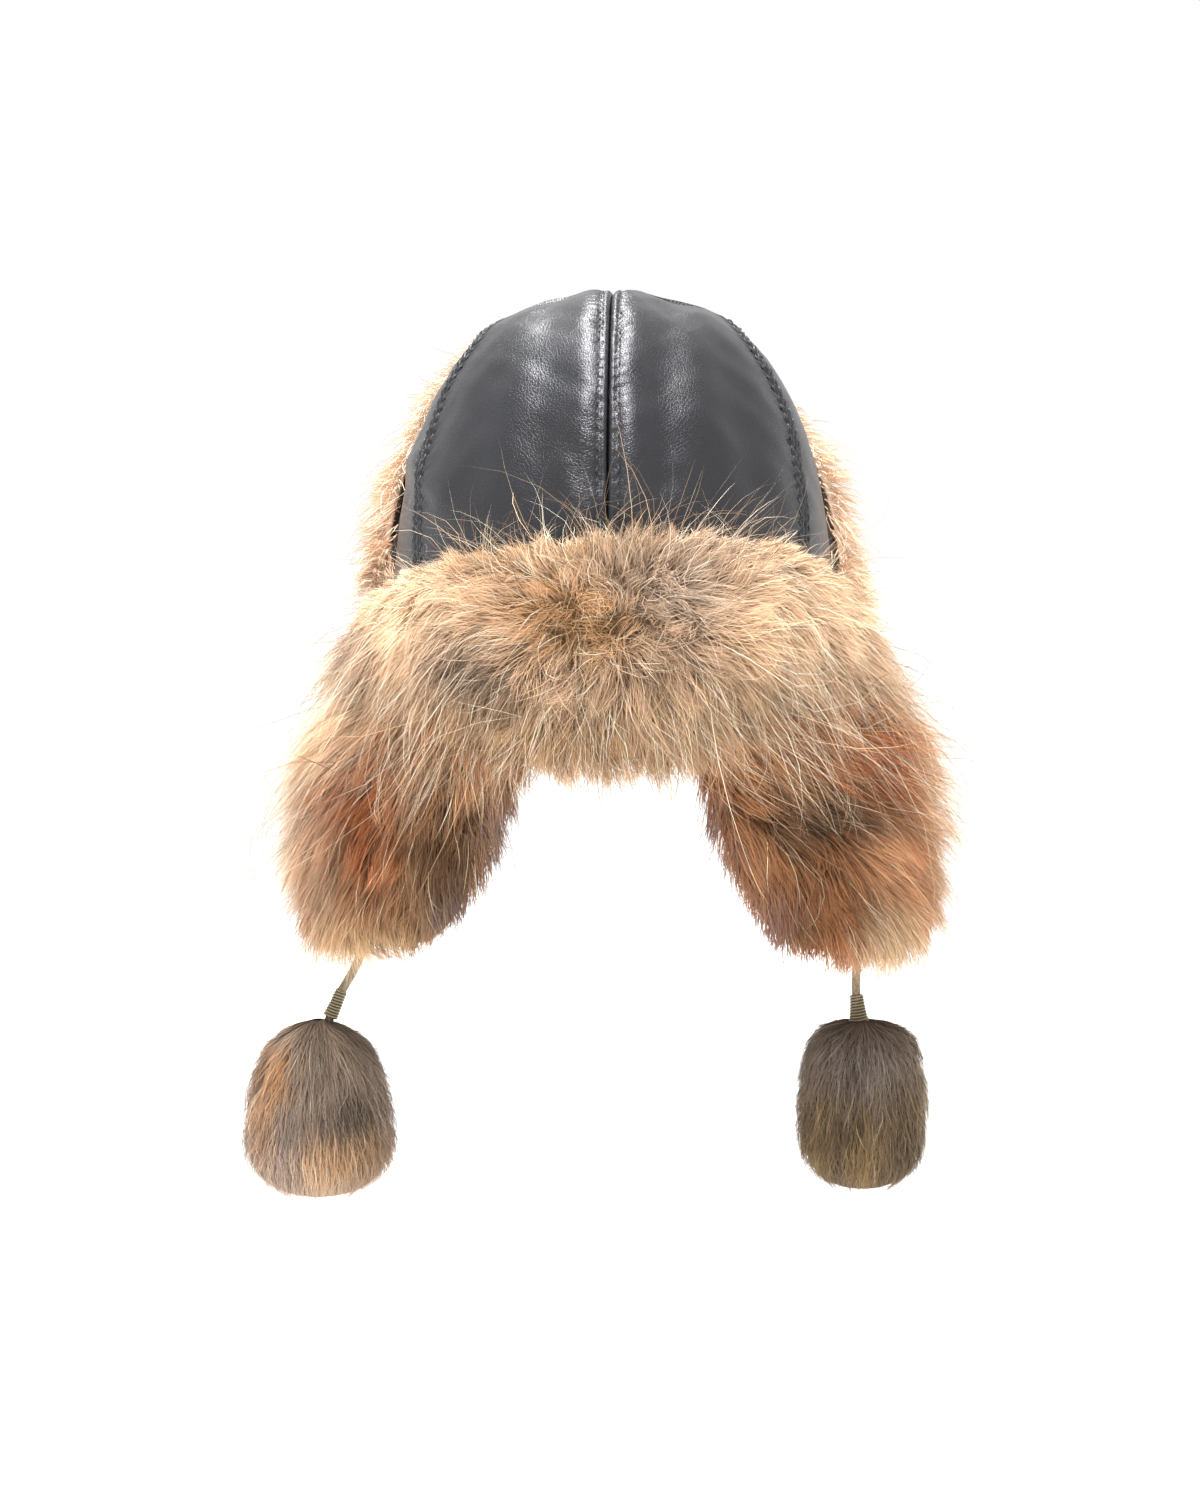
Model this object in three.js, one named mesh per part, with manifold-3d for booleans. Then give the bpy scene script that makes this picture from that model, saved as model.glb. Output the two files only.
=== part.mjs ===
// A fur-trimmed leather hat with ear flaps, in millimetres.
// The origin is the middle of the head opening, on the plane of the crown's rim. +Z is up and -Y is
// the front. Left and right are as seen by someone who faces the hat, so right is +X.
// A place on the hat is a turn about Z, in degrees from the front and positive to the right, a height
// above the rim, and a distance out from the crown's outer face.
import * as THREE from 'three';
import { mergeVertices } from 'three/addons/utils/BufferGeometryUtils.js';
import Module from 'manifold-3d';

const wasm = await Module();
wasm.setup();

// Crown: a dome of four sewn leather panels
const CROWN_HALF_WIDTH = 99;
const CROWN_HALF_LENGTH = 115;
const CROWN_HEIGHT = 172;
const CROWN_FULLNESS = 2.62; // 2 is an ellipse, and more is squarer at the shoulders
const LEATHER_WALL = 2.2;
const SEAM_GAP = 0.3;
const SIDE_PANEL_HEIGHT = 158;
const SIDE_PANEL_HALF_TURN = 34;
const SEAM_RIDGE_HEIGHT = 2;
const SEAM_RIDGE_OFFSET = 9;
const SEAM_RIDGE_WIDTH = 7;
const CREASE_DEPTH = 2.4;
const CREASE_WIDTH = 8;

// Flaps: leather backings that the fur is sewn to
const BACKING_WALL = 2.4;
const SEAT_GAP = 0.7;
const FLAP_LEAN = 4;
const PEAK_HEIGHT = 62;
const PEAK_HALF_TURN = 80;
const EAR_DROP = 108;
const EAR_FLARE = 13;
const EAR_MIDDLE_TURN = 76;
const EAR_FORWARD_TURN = 48;
const EAR_BACK_TURN = 42;
const NAPE_HEIGHT = 150;
const NAPE_HALF_TURN = 85;

// Fur: how far each pelt stands out, and how long its locks are
const PEAK_FUR_DEPTH = 24;
const PEAK_FUR_OVER_TOP = 4;
const PEAK_FUR_BELOW = 24;
const PEAK_FUR_BESIDE = 4; // degrees, as in the other two
const PEAK_LOCK_LENGTH = 38;
const EAR_FUR_DEPTH = 31;
const EAR_FUR_BELOW = 12;
const EAR_FUR_BESIDE = 9;
const EAR_LOCK_LENGTH = 44;
const NAPE_FUR_DEPTH = 19;
const NAPE_FUR_OVER_TOP = 7;
const NAPE_FUR_BELOW = 24;
const NAPE_FUR_BESIDE = 4;
const NAPE_LOCK_LENGTH = 38;
const LOCK_WIDTH = 22;
const LOCK_THICKNESS = 11;
const LOCK_SINK = 5;
const LOCK_DEEPEST = 14;
const FUR_CLEARANCE = 0.4;
const THIN_EDGE = 0.22; // how deep a pelt is at its edge, as a share of its depth

// Ties and pompoms
const CORD_DIAMETER = 4;
const CORD_STEPS = 12;
const CORD_SIDES = 8;
const BINDING_LENGTH = 13;
const BINDING_WALL = 1.3;
const BINDING_LEFT_FOOT = 1.5;
const BINDING_RIGHT_FOOT = 2.5;
const BINDING_CLEARANCE = 0.45;
const BINDING_START_SHARE = 0.395; // of the cord's length, from the flap
const POMPOM_LEFT_WIDTH = 69;
const POMPOM_LEFT_HEIGHT = 82;
const POMPOM_RIGHT_WIDTH = 59;
const POMPOM_RIGHT_HEIGHT = 78;
const POMPOM_LOCK_LENGTH = 26;
const POMPOM_LOCKS = 5;
const POMPOM_TOP_POINT = 6; // the point of the cord's route that the pompom's top is level with

// The ties' routes, each from the flap's hem down into the pompom's core
const TIE_ROUTE_LEFT = [
  [-109, -26, -108.6], [-110.5, -26.4, -116], [-113.8, -26.8, -125], [-117.6, -27.3, -132],
  [-120.6, -27.7, -137], [-123.4, -28, -143.4], [-126.2, -28, -149.8], [-128.4, -28, -158],
  [-130, -28, -169], [-131, -28, -182],
];
const TIE_ROUTE_RIGHT = [
  [109, -26, -108.6], [109.3, -26.3, -116], [109, -26.8, -124], [108.6, -27.4, -130],
  [108.7, -27.8, -136], [109.3, -28, -142.4], [109.9, -28, -148.8], [110.6, -28, -157],
  [111.2, -28, -169], [111.6, -28, -182],
];

// How wide the side panel's arch is, as a share of its turn, at each share of its height
const ARCH_SEAM = [
  { rise: 0, spread: 1 },
  { rise: 0.25, spread: 0.94 },
  { rise: 0.5, spread: 0.8 },
  { rise: 0.77, spread: 0.6 },
  { rise: 0.94, spread: 0.46 },
  { rise: 1, spread: 0 },
];

// Soft folds in the front of the crown: lines across its front view, as shares of its half width and
// its height, with the depth as a share of the crease depth
const CREASES = [
  { fromAcross: -0.27, fromUp: 0.97, toAcross: -0.3, toUp: 0.6, depth: -0.6 },
  { fromAcross: 0.27, fromUp: 0.98, toAcross: 0.22, toUp: 0.55, depth: -0.8 },
  { fromAcross: -0.85, fromUp: 0.56, toAcross: -0.42, toUp: 0.33, depth: 0.9 },
  { fromAcross: 0.13, fromUp: 0.68, toAcross: 0.15, toUp: 0.4, depth: 0.8 },
  { fromAcross: 0.5, fromUp: 0.8, toAcross: 0.66, toUp: 0.5, depth: -0.7 },
];

// The peak's upper and lower edges, as shares of its height, at each share of its turn
const PEAK_OUTLINE = [
  { turn: 0, top: 1, bottom: 0.02 },
  { turn: 0.5, top: 0.97, bottom: 0.02 },
  { turn: 0.8, top: 0.76, bottom: 0.02 },
  { turn: 1, top: 0.5, bottom: 0.06 },
];

// The ear flap's front and back edges, as shares of its turns, at each share of its drop
const EAR_OUTLINE = [
  { fall: 0, front: 1, back: 1 },
  { fall: 0.5, front: 0.86, back: 0.88 },
  { fall: 0.83, front: 0.68, back: 0.7 },
  { fall: 0.95, front: 0.56, back: 0.52 },
  { fall: 1, front: 0.4, back: 0.36 },
];

// The turned-up back flap's upper edge, as shares of its height, at each share of its turn from the
// middle of the back
const NAPE_OUTLINE = [
  { turn: 0, left: 1, right: 1 },
  { turn: 0.5, left: 0.97, right: 0.94 },
  { turn: 0.75, left: 0.86, right: 0.7 },
  { turn: 0.9, left: 0.6, right: 0.5 },
  { turn: 1, left: 0.36, right: 0.3 },
];

// The pompom's half width as a share of the named one, at each share of its height from the top
const POMPOM_PROFILE = [
  { fall: 0, half: 0.16 },
  { fall: 0.06, half: 0.45 },
  { fall: 0.16, half: 0.68 },
  { fall: 0.32, half: 0.86 },
  { fall: 0.5, half: 0.95 },
  { fall: 0.68, half: 0.95 },
  { fall: 0.84, half: 0.86 },
  { fall: 0.95, half: 0.58 },
  { fall: 1, half: 0.2 },
];

const COLOURS = {
  leather: { color: 0x3a3b3e, roughness: 0.42 },
  backing: { color: 0x2c2d30, roughness: 0.6 },
  peakFur: { color: 0xb8996f, roughness: 0.95 },
  earFur: { color: 0xb0744c, roughness: 0.95 },
  napeFur: { color: 0xdcb48f, roughness: 0.95 },
  cord: { color: 0x8a7a60, roughness: 0.9 },
  binding: { color: 0x5d5848, roughness: 0.85 },
  pompomLeft: { color: 0x94806c, roughness: 0.95 },
  pompomRight: { color: 0x6a5b4c, roughness: 0.95 },
};

const hat = new THREE.Group();

function addPiece(name, geometry, colour) {
  const material = new THREE.MeshStandardMaterial({ ...COLOURS[colour], metalness: 0 });
  const mesh = new THREE.Mesh(geometry, material);
  mesh.name = name;
  hat.add(mesh);
}

// Small sums

const radians = THREE.MathUtils.degToRad;
const mix = THREE.MathUtils.lerp;
const smoothstep = THREE.MathUtils.smoothstep;

// A repeatable number from 0 to 1 for each pair of counts, so that no two locks are quite alike.
function scatter(first, second) {
  const wave = Math.sin(first * 12.9898 + second * 78.233) * 43758.5453;
  return wave - Math.floor(wave);
}

// The value of a column at a share between the rows of a table, on a smooth curve.
function fromTable(table, key, share, column) {
  let row = 0;
  while (row < table.length - 2 && share > table[row + 1][key]) row += 1;
  const before = table[Math.max(row - 1, 0)];
  const low = table[row];
  const high = table[row + 1];
  const after = table[Math.min(row + 2, table.length - 1)];
  const span = high[key] - low[key];
  const t = THREE.MathUtils.clamp((share - low[key]) / span, 0, 1);
  const lowSlope = (high[column] - before[column]) / (high[key] - before[key]);
  const highSlope = (after[column] - low[column]) / (after[key] - low[key]);
  const rise = high[column] - low[column];
  const a = lowSlope * span - rise;
  const b = rise - highSlope * span;
  return mix(low[column], high[column], t) + t * (1 - t) * ((1 - t) * a + t * b);
}

// The hat's base face: the crown's outer face above the rim, and below it the cheeks' oval, which
// flares towards the flap's hem

function flareAt(height) {
  const fall = THREE.MathUtils.clamp(-height / EAR_DROP, 0, 1.25);
  return EAR_FLARE * Math.pow(fall, 1.2);
}

function outwardAt(point) {
  const across = point.x / (CROWN_HALF_WIDTH + flareAt(point.z));
  const along = point.y / CROWN_HALF_LENGTH;
  const round = Math.pow(across * across + along * along, CROWN_FULLNESS / 2 - 1);
  const up = Math.pow(Math.max(point.z, 0) / CROWN_HEIGHT, CROWN_FULLNESS - 1) / CROWN_HEIGHT;
  const normal = new THREE.Vector3(
    (round * across) / CROWN_HALF_WIDTH,
    (round * along) / CROWN_HALF_LENGTH,
    up,
  );
  return normal.normalize();
}

function hatPoint(turn, height, out) {
  const rise = THREE.MathUtils.clamp(height / CROWN_HEIGHT, 0, 1);
  const scale = Math.pow(1 - Math.pow(rise, CROWN_FULLNESS), 1 / CROWN_FULLNESS);
  const point = new THREE.Vector3(
    (CROWN_HALF_WIDTH + flareAt(height)) * scale * Math.sin(radians(turn)),
    -CROWN_HALF_LENGTH * scale * Math.cos(radians(turn)),
    height,
  );
  return point.addScaledVector(outwardAt(point), out);
}

// The point of the crown's outer face that lies in a direction from the origin.
function crownAlong(direction) {
  const across = direction.x / CROWN_HALF_WIDTH;
  const along = direction.y / CROWN_HALF_LENGTH;
  const up = direction.z / CROWN_HEIGHT;
  const oval = Math.pow(across * across + along * along, CROWN_FULLNESS / 2);
  const reach = Math.pow(oval + Math.pow(up, CROWN_FULLNESS), -1 / CROWN_FULLNESS);
  return direction.clone().multiplyScalar(reach);
}

// Closed bodies

// A closed geometry from points and triangles. It is turned inside out if its volume is negative.
function closedBody(points, triangles) {
  const open = new THREE.BufferGeometry();
  open.setAttribute('position', new THREE.Float32BufferAttribute(points.flatMap((p) => p.toArray()), 3));
  open.setIndex(triangles.flat());
  const merged = mergeVertices(open, 1e-3);
  const place = merged.getAttribute('position');
  const index = merged.getIndex().array;
  const corner = (k) => new THREE.Vector3().fromBufferAttribute(place, index[k]);
  const kept = [];
  let volume = 0;
  for (let k = 0; k < index.length; k += 3) {
    const [a, b, c] = [index[k], index[k + 1], index[k + 2]];
    if (a === b || b === c || c === a) continue;
    kept.push(a, b, c);
    volume += corner(k).dot(corner(k + 1).cross(corner(k + 2)));
  }
  if (volume < 0) kept.reverse();
  merged.setIndex(kept);
  return merged;
}

// A wall between two grids of points, closed at its edges. A ring's last column meets its first.
function wallBetween(outer, inner, ring = false) {
  const rows = outer.length;
  const columns = outer[0].length;
  const points = [...outer.flat(), ...inner.flat()];
  const at = (layer, i, j) => layer * rows * columns + i * columns + (j % columns);
  const triangles = [];
  const quad = (a, b, c, d) => triangles.push([a, b, c], [a, c, d]);
  const spans = ring ? columns : columns - 1;
  for (let i = 0; i < rows - 1; i += 1) {
    for (let j = 0; j < spans; j += 1) {
      quad(at(0, i, j), at(0, i, j + 1), at(0, i + 1, j + 1), at(0, i + 1, j));
      quad(at(1, i, j), at(1, i + 1, j), at(1, i + 1, j + 1), at(1, i, j + 1));
    }
  }
  for (let j = 0; j < spans; j += 1) {
    quad(at(0, 0, j), at(1, 0, j), at(1, 0, j + 1), at(0, 0, j + 1));
    quad(at(0, rows - 1, j), at(0, rows - 1, j + 1), at(1, rows - 1, j + 1), at(1, rows - 1, j));
  }
  for (let i = 0; i < rows - 1 && !ring; i += 1) {
    quad(at(0, i, 0), at(0, i + 1, 0), at(1, i + 1, 0), at(1, i, 0));
    quad(at(0, i, columns - 1), at(1, i, columns - 1), at(1, i + 1, columns - 1), at(0, i + 1, columns - 1));
  }
  return closedBody(points, triangles);
}

function gridOf(rows, columns, pointAt) {
  const grid = [];
  for (let i = 0; i <= rows; i += 1) {
    const line = [];
    for (let j = 0; j <= columns; j += 1) line.push(pointAt(i / rows, j / columns));
    grid.push(line);
  }
  return grid;
}

function toSolid(geometry) {
  const bare = geometry.clone();
  bare.deleteAttribute('normal');
  bare.deleteAttribute('uv');
  const merged = mergeVertices(bare, 1e-3);
  return new wasm.Manifold(new wasm.Mesh({
    numProp: 3,
    vertProperties: new Float32Array(merged.getAttribute('position').array),
    triVerts: new Uint32Array(merged.getIndex().array),
  }));
}

// The largest piece of a cut solid, without the crumbs that a cut leaves beside it.
function toGeometry(solid) {
  const pieces = solid.simplify(0.02).decompose();
  const largest = pieces.reduce((best, piece) => (piece.volume() > best.volume() ? piece : best));
  const mesh = largest.getMesh();
  const geometry = new THREE.BufferGeometry();
  geometry.setAttribute('position', new THREE.Float32BufferAttribute(mesh.vertProperties, 3));
  geometry.setIndex([...mesh.triVerts]);
  return geometry;
}

// Crown panels

function archSeam(share) {
  const rise = Math.sin((1 - Math.abs(2 * share - 1)) * Math.PI / 2);
  const spread = SIDE_PANEL_HALF_TURN * fromTable(ARCH_SEAM, 'rise', rise, 'spread');
  const turn = share < 0.5 ? 90 - spread : 90 + spread;
  return hatPoint(turn, SIDE_PANEL_HEIGHT * rise, 0);
}

function middleSeam(share) {
  const lift = share * Math.PI;
  const ahead = new THREE.Vector3(0, -CROWN_HALF_LENGTH * Math.cos(lift), CROWN_HEIGHT * Math.sin(lift));
  return crownAlong(ahead);
}

function distanceToLine(x, z, crease) {
  const from = new THREE.Vector2(crease.fromAcross * CROWN_HALF_WIDTH, crease.fromUp * CROWN_HEIGHT);
  const to = new THREE.Vector2(crease.toAcross * CROWN_HALF_WIDTH, crease.toUp * CROWN_HEIGHT);
  const way = to.clone().sub(from);
  const here = new THREE.Vector2(x, z).sub(from);
  const share = THREE.MathUtils.clamp(here.dot(way) / way.lengthSq(), 0, 1);
  return here.distanceTo(way.multiplyScalar(share));
}

// How far the leather stands off its smooth form. The turned-up flaps press it flat behind them.
function leatherRelief(point) {
  const coveredTo = point.y < 0 ? PEAK_HEIGHT : NAPE_HEIGHT;
  const bare = smoothstep(point.z, coveredTo + 2, coveredTo + 18);
  const besideSeam = (Math.abs(point.x) - SEAM_RIDGE_OFFSET) / SEAM_RIDGE_WIDTH;
  let relief = SEAM_RIDGE_HEIGHT * Math.exp(-besideSeam * besideSeam);
  if (point.y < 0) {
    for (const crease of CREASES) {
      const away = distanceToLine(point.x, point.z, crease) / CREASE_WIDTH;
      relief += CREASE_DEPTH * crease.depth * Math.exp(-away * away);
    }
  }
  return relief * bare;
}

function leatherPoint(point, out) {
  return point.clone().addScaledVector(outwardAt(point), leatherRelief(point) + out);
}

const PANEL_ROWS = 24;
const TOP_PANEL_COLUMNS = [0, 0.1, 0.22, 0.38, 0.56, 0.76, 1];
const SIDE_PANEL_COLUMNS = 6;

function topPanel(side) {
  const layer = (out) => {
    const rows = [];
    for (let k = 0; k <= PANEL_ROWS; k += 1) {
      const middle = middleSeam(k / PANEL_ROWS);
      const arch = archSeam(k / PANEL_ROWS);
      const trim = SEAM_GAP / 2 / middle.distanceTo(arch);
      rows.push(TOP_PANEL_COLUMNS.map((column) => {
        const share = mix(trim, 1 - trim, column);
        const point = crownAlong(middle.clone().lerp(arch, share));
        point.x *= side;
        return leatherPoint(point, out);
      }));
    }
    return rows;
  };
  return wallBetween(layer(0), layer(-LEATHER_WALL));
}

function sidePanel(side) {
  const rows = PANEL_ROWS / 2;
  const layer = (out) => gridOf(rows, SIDE_PANEL_COLUMNS, (up, across) => {
    const front = archSeam(up / 2);
    const back = archSeam(1 - up / 2);
    const trim = Math.min(SEAM_GAP / Math.max(front.distanceTo(back), SEAM_GAP), 0.5);
    const point = front.clone().lerp(back, mix(trim, 1 - trim, across));
    point.z -= SEAM_GAP * up;
    const onCrown = crownAlong(point);
    onCrown.x *= side;
    return leatherPoint(onCrown, out);
  });
  return wallBetween(layer(0), layer(-LEATHER_WALL));
}

// Backings and pelts. Each reads its place from the same outline: across runs from 0 to 1 along the
// turn, and up from 0 at the lower edge to 1 at the upper one. Below 0 and past 1 lies the fur's
// overhang, which its margins measure.

const BARE = { over: 0, below: 0, beside: 0 };

// The share of the backing, and how far past its edge, for a share that may lie outside it.
function onBacking(share) {
  const inside = THREE.MathUtils.clamp(share, 0, 1);
  return { inside, past: share - inside };
}

function edgeMargin(past, low, high) {
  return past < 0 ? low * past : high * past;
}

function peakPlace(up, across, margin) {
  const level = onBacking(up);
  const side = onBacking(across);
  const share = Math.abs(2 * side.inside - 1);
  const top = PEAK_HEIGHT * fromTable(PEAK_OUTLINE, 'turn', share, 'top');
  const bottom = PEAK_HEIGHT * fromTable(PEAK_OUTLINE, 'turn', share, 'bottom');
  return {
    turn: mix(-PEAK_HALF_TURN, PEAK_HALF_TURN, side.inside) + margin.beside * side.past,
    height: mix(bottom, top, level.inside) + edgeMargin(level.past, margin.below, margin.over),
  };
}

function peakLean(height) {
  return SEAT_GAP + FLAP_LEAN * Math.max(height, 0) / PEAK_HEIGHT;
}

function earPlace(up, across, margin) {
  const level = onBacking(up);
  const side = onBacking(across);
  const fall = 1 - level.inside;
  const forward = EAR_FORWARD_TURN * fromTable(EAR_OUTLINE, 'fall', fall, 'front');
  const back = EAR_BACK_TURN * fromTable(EAR_OUTLINE, 'fall', fall, 'back');
  const turn = mix(EAR_MIDDLE_TURN - forward, EAR_MIDDLE_TURN + back, side.inside);
  return {
    turn: turn + margin.beside * side.past,
    height: mix(-SEAM_GAP, -EAR_DROP, fall) + edgeMargin(level.past, margin.below, margin.over),
  };
}

function earLean() {
  return SEAM_GAP - BACKING_WALL;
}

function napePlace(up, across, margin) {
  const level = onBacking(up);
  const side = onBacking(across);
  const share = Math.abs(2 * side.inside - 1);
  const column = across < 0.5 ? 'right' : 'left';
  const top = NAPE_HEIGHT * fromTable(NAPE_OUTLINE, 'turn', share, column);
  return {
    turn: mix(180 - NAPE_HALF_TURN, 180 + NAPE_HALF_TURN, side.inside) + margin.beside * side.past,
    height: mix(SEAM_GAP, top, level.inside) + edgeMargin(level.past, margin.below, margin.over),
  };
}

function napeLean(height) {
  return SEAT_GAP + FLAP_LEAN * Math.max(height, 0) / NAPE_HEIGHT;
}

function backing({ place, lean, rows, columns }, side = 1) {
  const layer = (out) => gridOf(rows, columns, (up, across) => {
    const { turn, height } = place(up, across, BARE);
    return hatPoint(side * turn, height, lean(height) + out);
  });
  return wallBetween(layer(BACKING_WALL), layer(0));
}

// A lock of hair: a bent spike of three sides, which starts inside the pelt and ends in a point.
function lockSolid(root, outward, along, size) {
  const across = new THREE.Vector3().crossVectors(outward, along).normalize();
  const stations = [
    { reach: 0, lift: -LOCK_SINK, girth: 0.7 },
    { reach: 0.45, lift: size.lift * 0.2, girth: 1 },
    { reach: 1, lift: size.lift, girth: 0 },
  ];
  const points = [];
  for (const { reach, lift, girth } of stations) {
    const centre = root.clone().addScaledVector(along, size.length * reach).addScaledVector(outward, lift);
    const half = girth * (size.width / 2);
    const deep = girth * (size.thickness / 2);
    points.push(
      centre.clone().addScaledVector(across, half),
      centre.clone().addScaledVector(outward, deep),
      centre.clone().addScaledVector(across, -half),
    );
  }
  const triangles = [[0, 1, 2]];
  for (let ring = 0; ring < stations.length - 1; ring += 1) {
    for (let k = 0; k < 3; k += 1) {
      const a = ring * 3 + k;
      const b = ring * 3 + (k + 1) % 3;
      triangles.push([a, a + 3, b + 3], [a, b + 3, b]);
    }
  }
  return toSolid(closedBody(points, triangles));
}

// A pelt with its locks. Its rows and columns are the backing's, and one more for the overhang at each
// edge. The swell makes a slightly larger copy, which cuts its neighbour clear.
function furPiece(fur, side, swell) {
  const { place, lean, margin, depth } = fur;
  const rows = fur.rows + 2;
  const columns = fur.columns + 2;
  const swollen = { over: margin.over + swell, below: margin.below + swell, beside: margin.beside + swell };
  const placeAt = (up, across, around) => {
    const level = onBacking((up * rows - 1) / fur.rows);
    const sideways = onBacking((across * columns - 1) / fur.columns);
    return place(
      level.inside + level.past * fur.rows,
      sideways.inside + sideways.past * fur.columns,
      around,
    );
  };
  const depthAt = (up, across) => {
    const edge = (share) => Math.pow(Math.max(1 - Math.pow(Math.abs(2 * share - 1), 3), 0), 0.6);
    return depth * mix(THIN_EDGE, 1, edge(up) * edge(across)) * fur.fullness(up);
  };
  const pointAt = ({ turn, height }, out) => (
    hatPoint(side * turn, height, lean(height) + BACKING_WALL + SEAM_GAP + out)
  );
  const layer = (outAt) => gridOf(rows, columns, (up, across) => (
    pointAt(placeAt(up, across, swollen), outAt(up, across))
  ));
  const outer = layer((up, across) => depthAt(up, across) + swell);
  const inner = layer(() => -swell);
  const behind = layer(() => -LOCK_DEEPEST);
  let solid = toSolid(wallBetween(outer, inner));
  for (let i = 0; i < fur.lockRows; i += 1) {
    const count = fur.lockColumns - (i % 2);
    for (let j = 0; j < count; j += 1) {
      const row = (i + 0.5 + 0.3 * (scatter(i, j) - 0.5)) / fur.lockRows;
      const column = (j + 0.5 + 0.3 * (scatter(j, i + 7) - 0.5)) / count;
      const up = mix(fur.lockBand.low, fur.lockBand.high, row);
      const across = mix(fur.lockBand.inset, 1 - fur.lockBand.inset, column);
      const { turn, height } = placeAt(up, across, margin);
      const root = pointAt({ turn, height }, depthAt(up, across));
      const outward = outwardAt(root);
      const flow = fur.flow(turn, height);
      const sideways = new THREE.Vector3(side * Math.cos(radians(turn)), Math.sin(radians(turn)), 0);
      const along = sideways.multiplyScalar(flow.across);
      along.z += flow.up;
      along.addScaledVector(outward, -along.dot(outward)).normalize();
      const length = fur.lockLength * mix(0.75, 1.1, scatter(i + 3, j + 5));
      solid = solid.add(lockSolid(root, outward, along, {
        length: length + swell,
        lift: length * mix(0.02, 0.2, scatter(i + 11, j)),
        width: LOCK_WIDTH * mix(0.85, 1.2, scatter(i, j + 13)) + 2 * swell,
        thickness: LOCK_THICKNESS + 2 * swell,
      }));
    }
  }
  return solid.subtract(toSolid(wallBetween(inner, behind)));
}

const PEAK = {
  place: peakPlace,
  lean: peakLean,
  rows: 4,
  columns: 18,
  margin: { over: PEAK_FUR_OVER_TOP, below: PEAK_FUR_BELOW, beside: PEAK_FUR_BESIDE },
  depth: PEAK_FUR_DEPTH,
  fullness: () => 1,
  lockRows: 4,
  lockColumns: 11,
  lockBand: { low: 0.18, high: 0.7, inset: 0.1 },
  lockLength: PEAK_LOCK_LENGTH,
  // The hair spreads from the middle of the peak: up above it, down below it and out to the sides.
  flow: (turn, height) => ({ across: turn / PEAK_HALF_TURN * 1.3, up: height / PEAK_HEIGHT * 2 - 0.75 }),
};

const EAR = {
  place: earPlace,
  lean: earLean,
  rows: 7,
  columns: 8,
  margin: { over: 0, below: EAR_FUR_BELOW, beside: EAR_FUR_BESIDE },
  depth: EAR_FUR_DEPTH,
  fullness: (up) => mix(1.05, 0.55, smoothstep(up, 0.45, 1)),
  lockRows: 5,
  lockColumns: 5,
  lockBand: { low: 0.2, high: 0.95, inset: 0.1 },
  lockLength: EAR_LOCK_LENGTH,
  // The hair hangs, and turns a little towards each edge.
  flow: (turn) => ({ across: (turn - EAR_MIDDLE_TURN) / EAR_FORWARD_TURN * 0.5, up: -1 }),
};

const NAPE = {
  place: napePlace,
  lean: napeLean,
  rows: 7,
  columns: 14,
  margin: { over: NAPE_FUR_OVER_TOP, below: NAPE_FUR_BELOW, beside: NAPE_FUR_BESIDE },
  depth: NAPE_FUR_DEPTH,
  fullness: () => 1,
  lockRows: 4,
  lockColumns: 8,
  lockBand: { low: 0.08, high: 0.86, inset: 0.06 },
  lockLength: NAPE_LOCK_LENGTH,
  // The hair points up over the crown and down over the neck, and out to the sides.
  flow: (turn, height) => ({ across: (turn - 180) / NAPE_HALF_TURN, up: height / NAPE_HEIGHT * 2.4 - 0.5 }),
};

// Ties: a cord, the binding wound round its foot, and the pompom that it runs into

const TIES = {
  left: {
    route: TIE_ROUTE_LEFT,
    width: POMPOM_LEFT_WIDTH,
    height: POMPOM_LEFT_HEIGHT,
    foot: BINDING_LEFT_FOOT,
    colour: 'pompomLeft',
  },
  right: {
    route: TIE_ROUTE_RIGHT,
    width: POMPOM_RIGHT_WIDTH,
    height: POMPOM_RIGHT_HEIGHT,
    foot: BINDING_RIGHT_FOOT,
    colour: 'pompomRight',
  },
};

function tieCurve(tie) {
  return new THREE.CatmullRomCurve3(tie.route.map((place) => new THREE.Vector3(...place)));
}

function cordTube(tie, swell) {
  const section = new THREE.Shape();
  for (let k = 0; k < CORD_SIDES; k += 1) {
    const angle = (k / CORD_SIDES) * 2 * Math.PI;
    const radius = CORD_DIAMETER / 2 + swell;
    const corner = [radius * Math.cos(angle), radius * Math.sin(angle)];
    if (k === 0) section.moveTo(...corner);
    else section.lineTo(...corner);
  }
  section.closePath();
  const settings = { steps: CORD_STEPS, extrudePath: tieCurve(tie), bevelEnabled: false };
  return new THREE.ExtrudeGeometry(section, settings);
}

// A sleeve that follows the cord, with a bore round it and a foot that is wider than its head.
function bindingSleeve(tie, bore, swell) {
  const curve = tieCurve(tie);
  const share = BINDING_LENGTH / curve.getLength();
  const rows = 4;
  const sides = 10;
  const layer = (radiusAt) => {
    const grid = [];
    for (let i = 0; i <= rows; i += 1) {
      const at = BINDING_START_SHARE + share * (i / rows);
      const centre = curve.getPointAt(at);
      const tangent = curve.getTangentAt(at);
      const right = new THREE.Vector3().crossVectors(tangent, new THREE.Vector3(0, 1, 0)).normalize();
      const ahead = new THREE.Vector3().crossVectors(right, tangent);
      const ring = [];
      for (let k = 0; k < sides; k += 1) {
        const angle = (k / sides) * 2 * Math.PI;
        const radius = radiusAt(i / rows);
        ring.push(centre.clone()
          .addScaledVector(right, radius * Math.cos(angle))
          .addScaledVector(ahead, radius * Math.sin(angle)));
      }
      grid.push(ring);
    }
    return grid;
  };
  const inside = CORD_DIAMETER / 2 + BINDING_CLEARANCE;
  const outer = layer((down) => inside + BINDING_WALL + tie.foot * down * down + swell);
  return wallBetween(outer, layer(() => bore), true);
}

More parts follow.
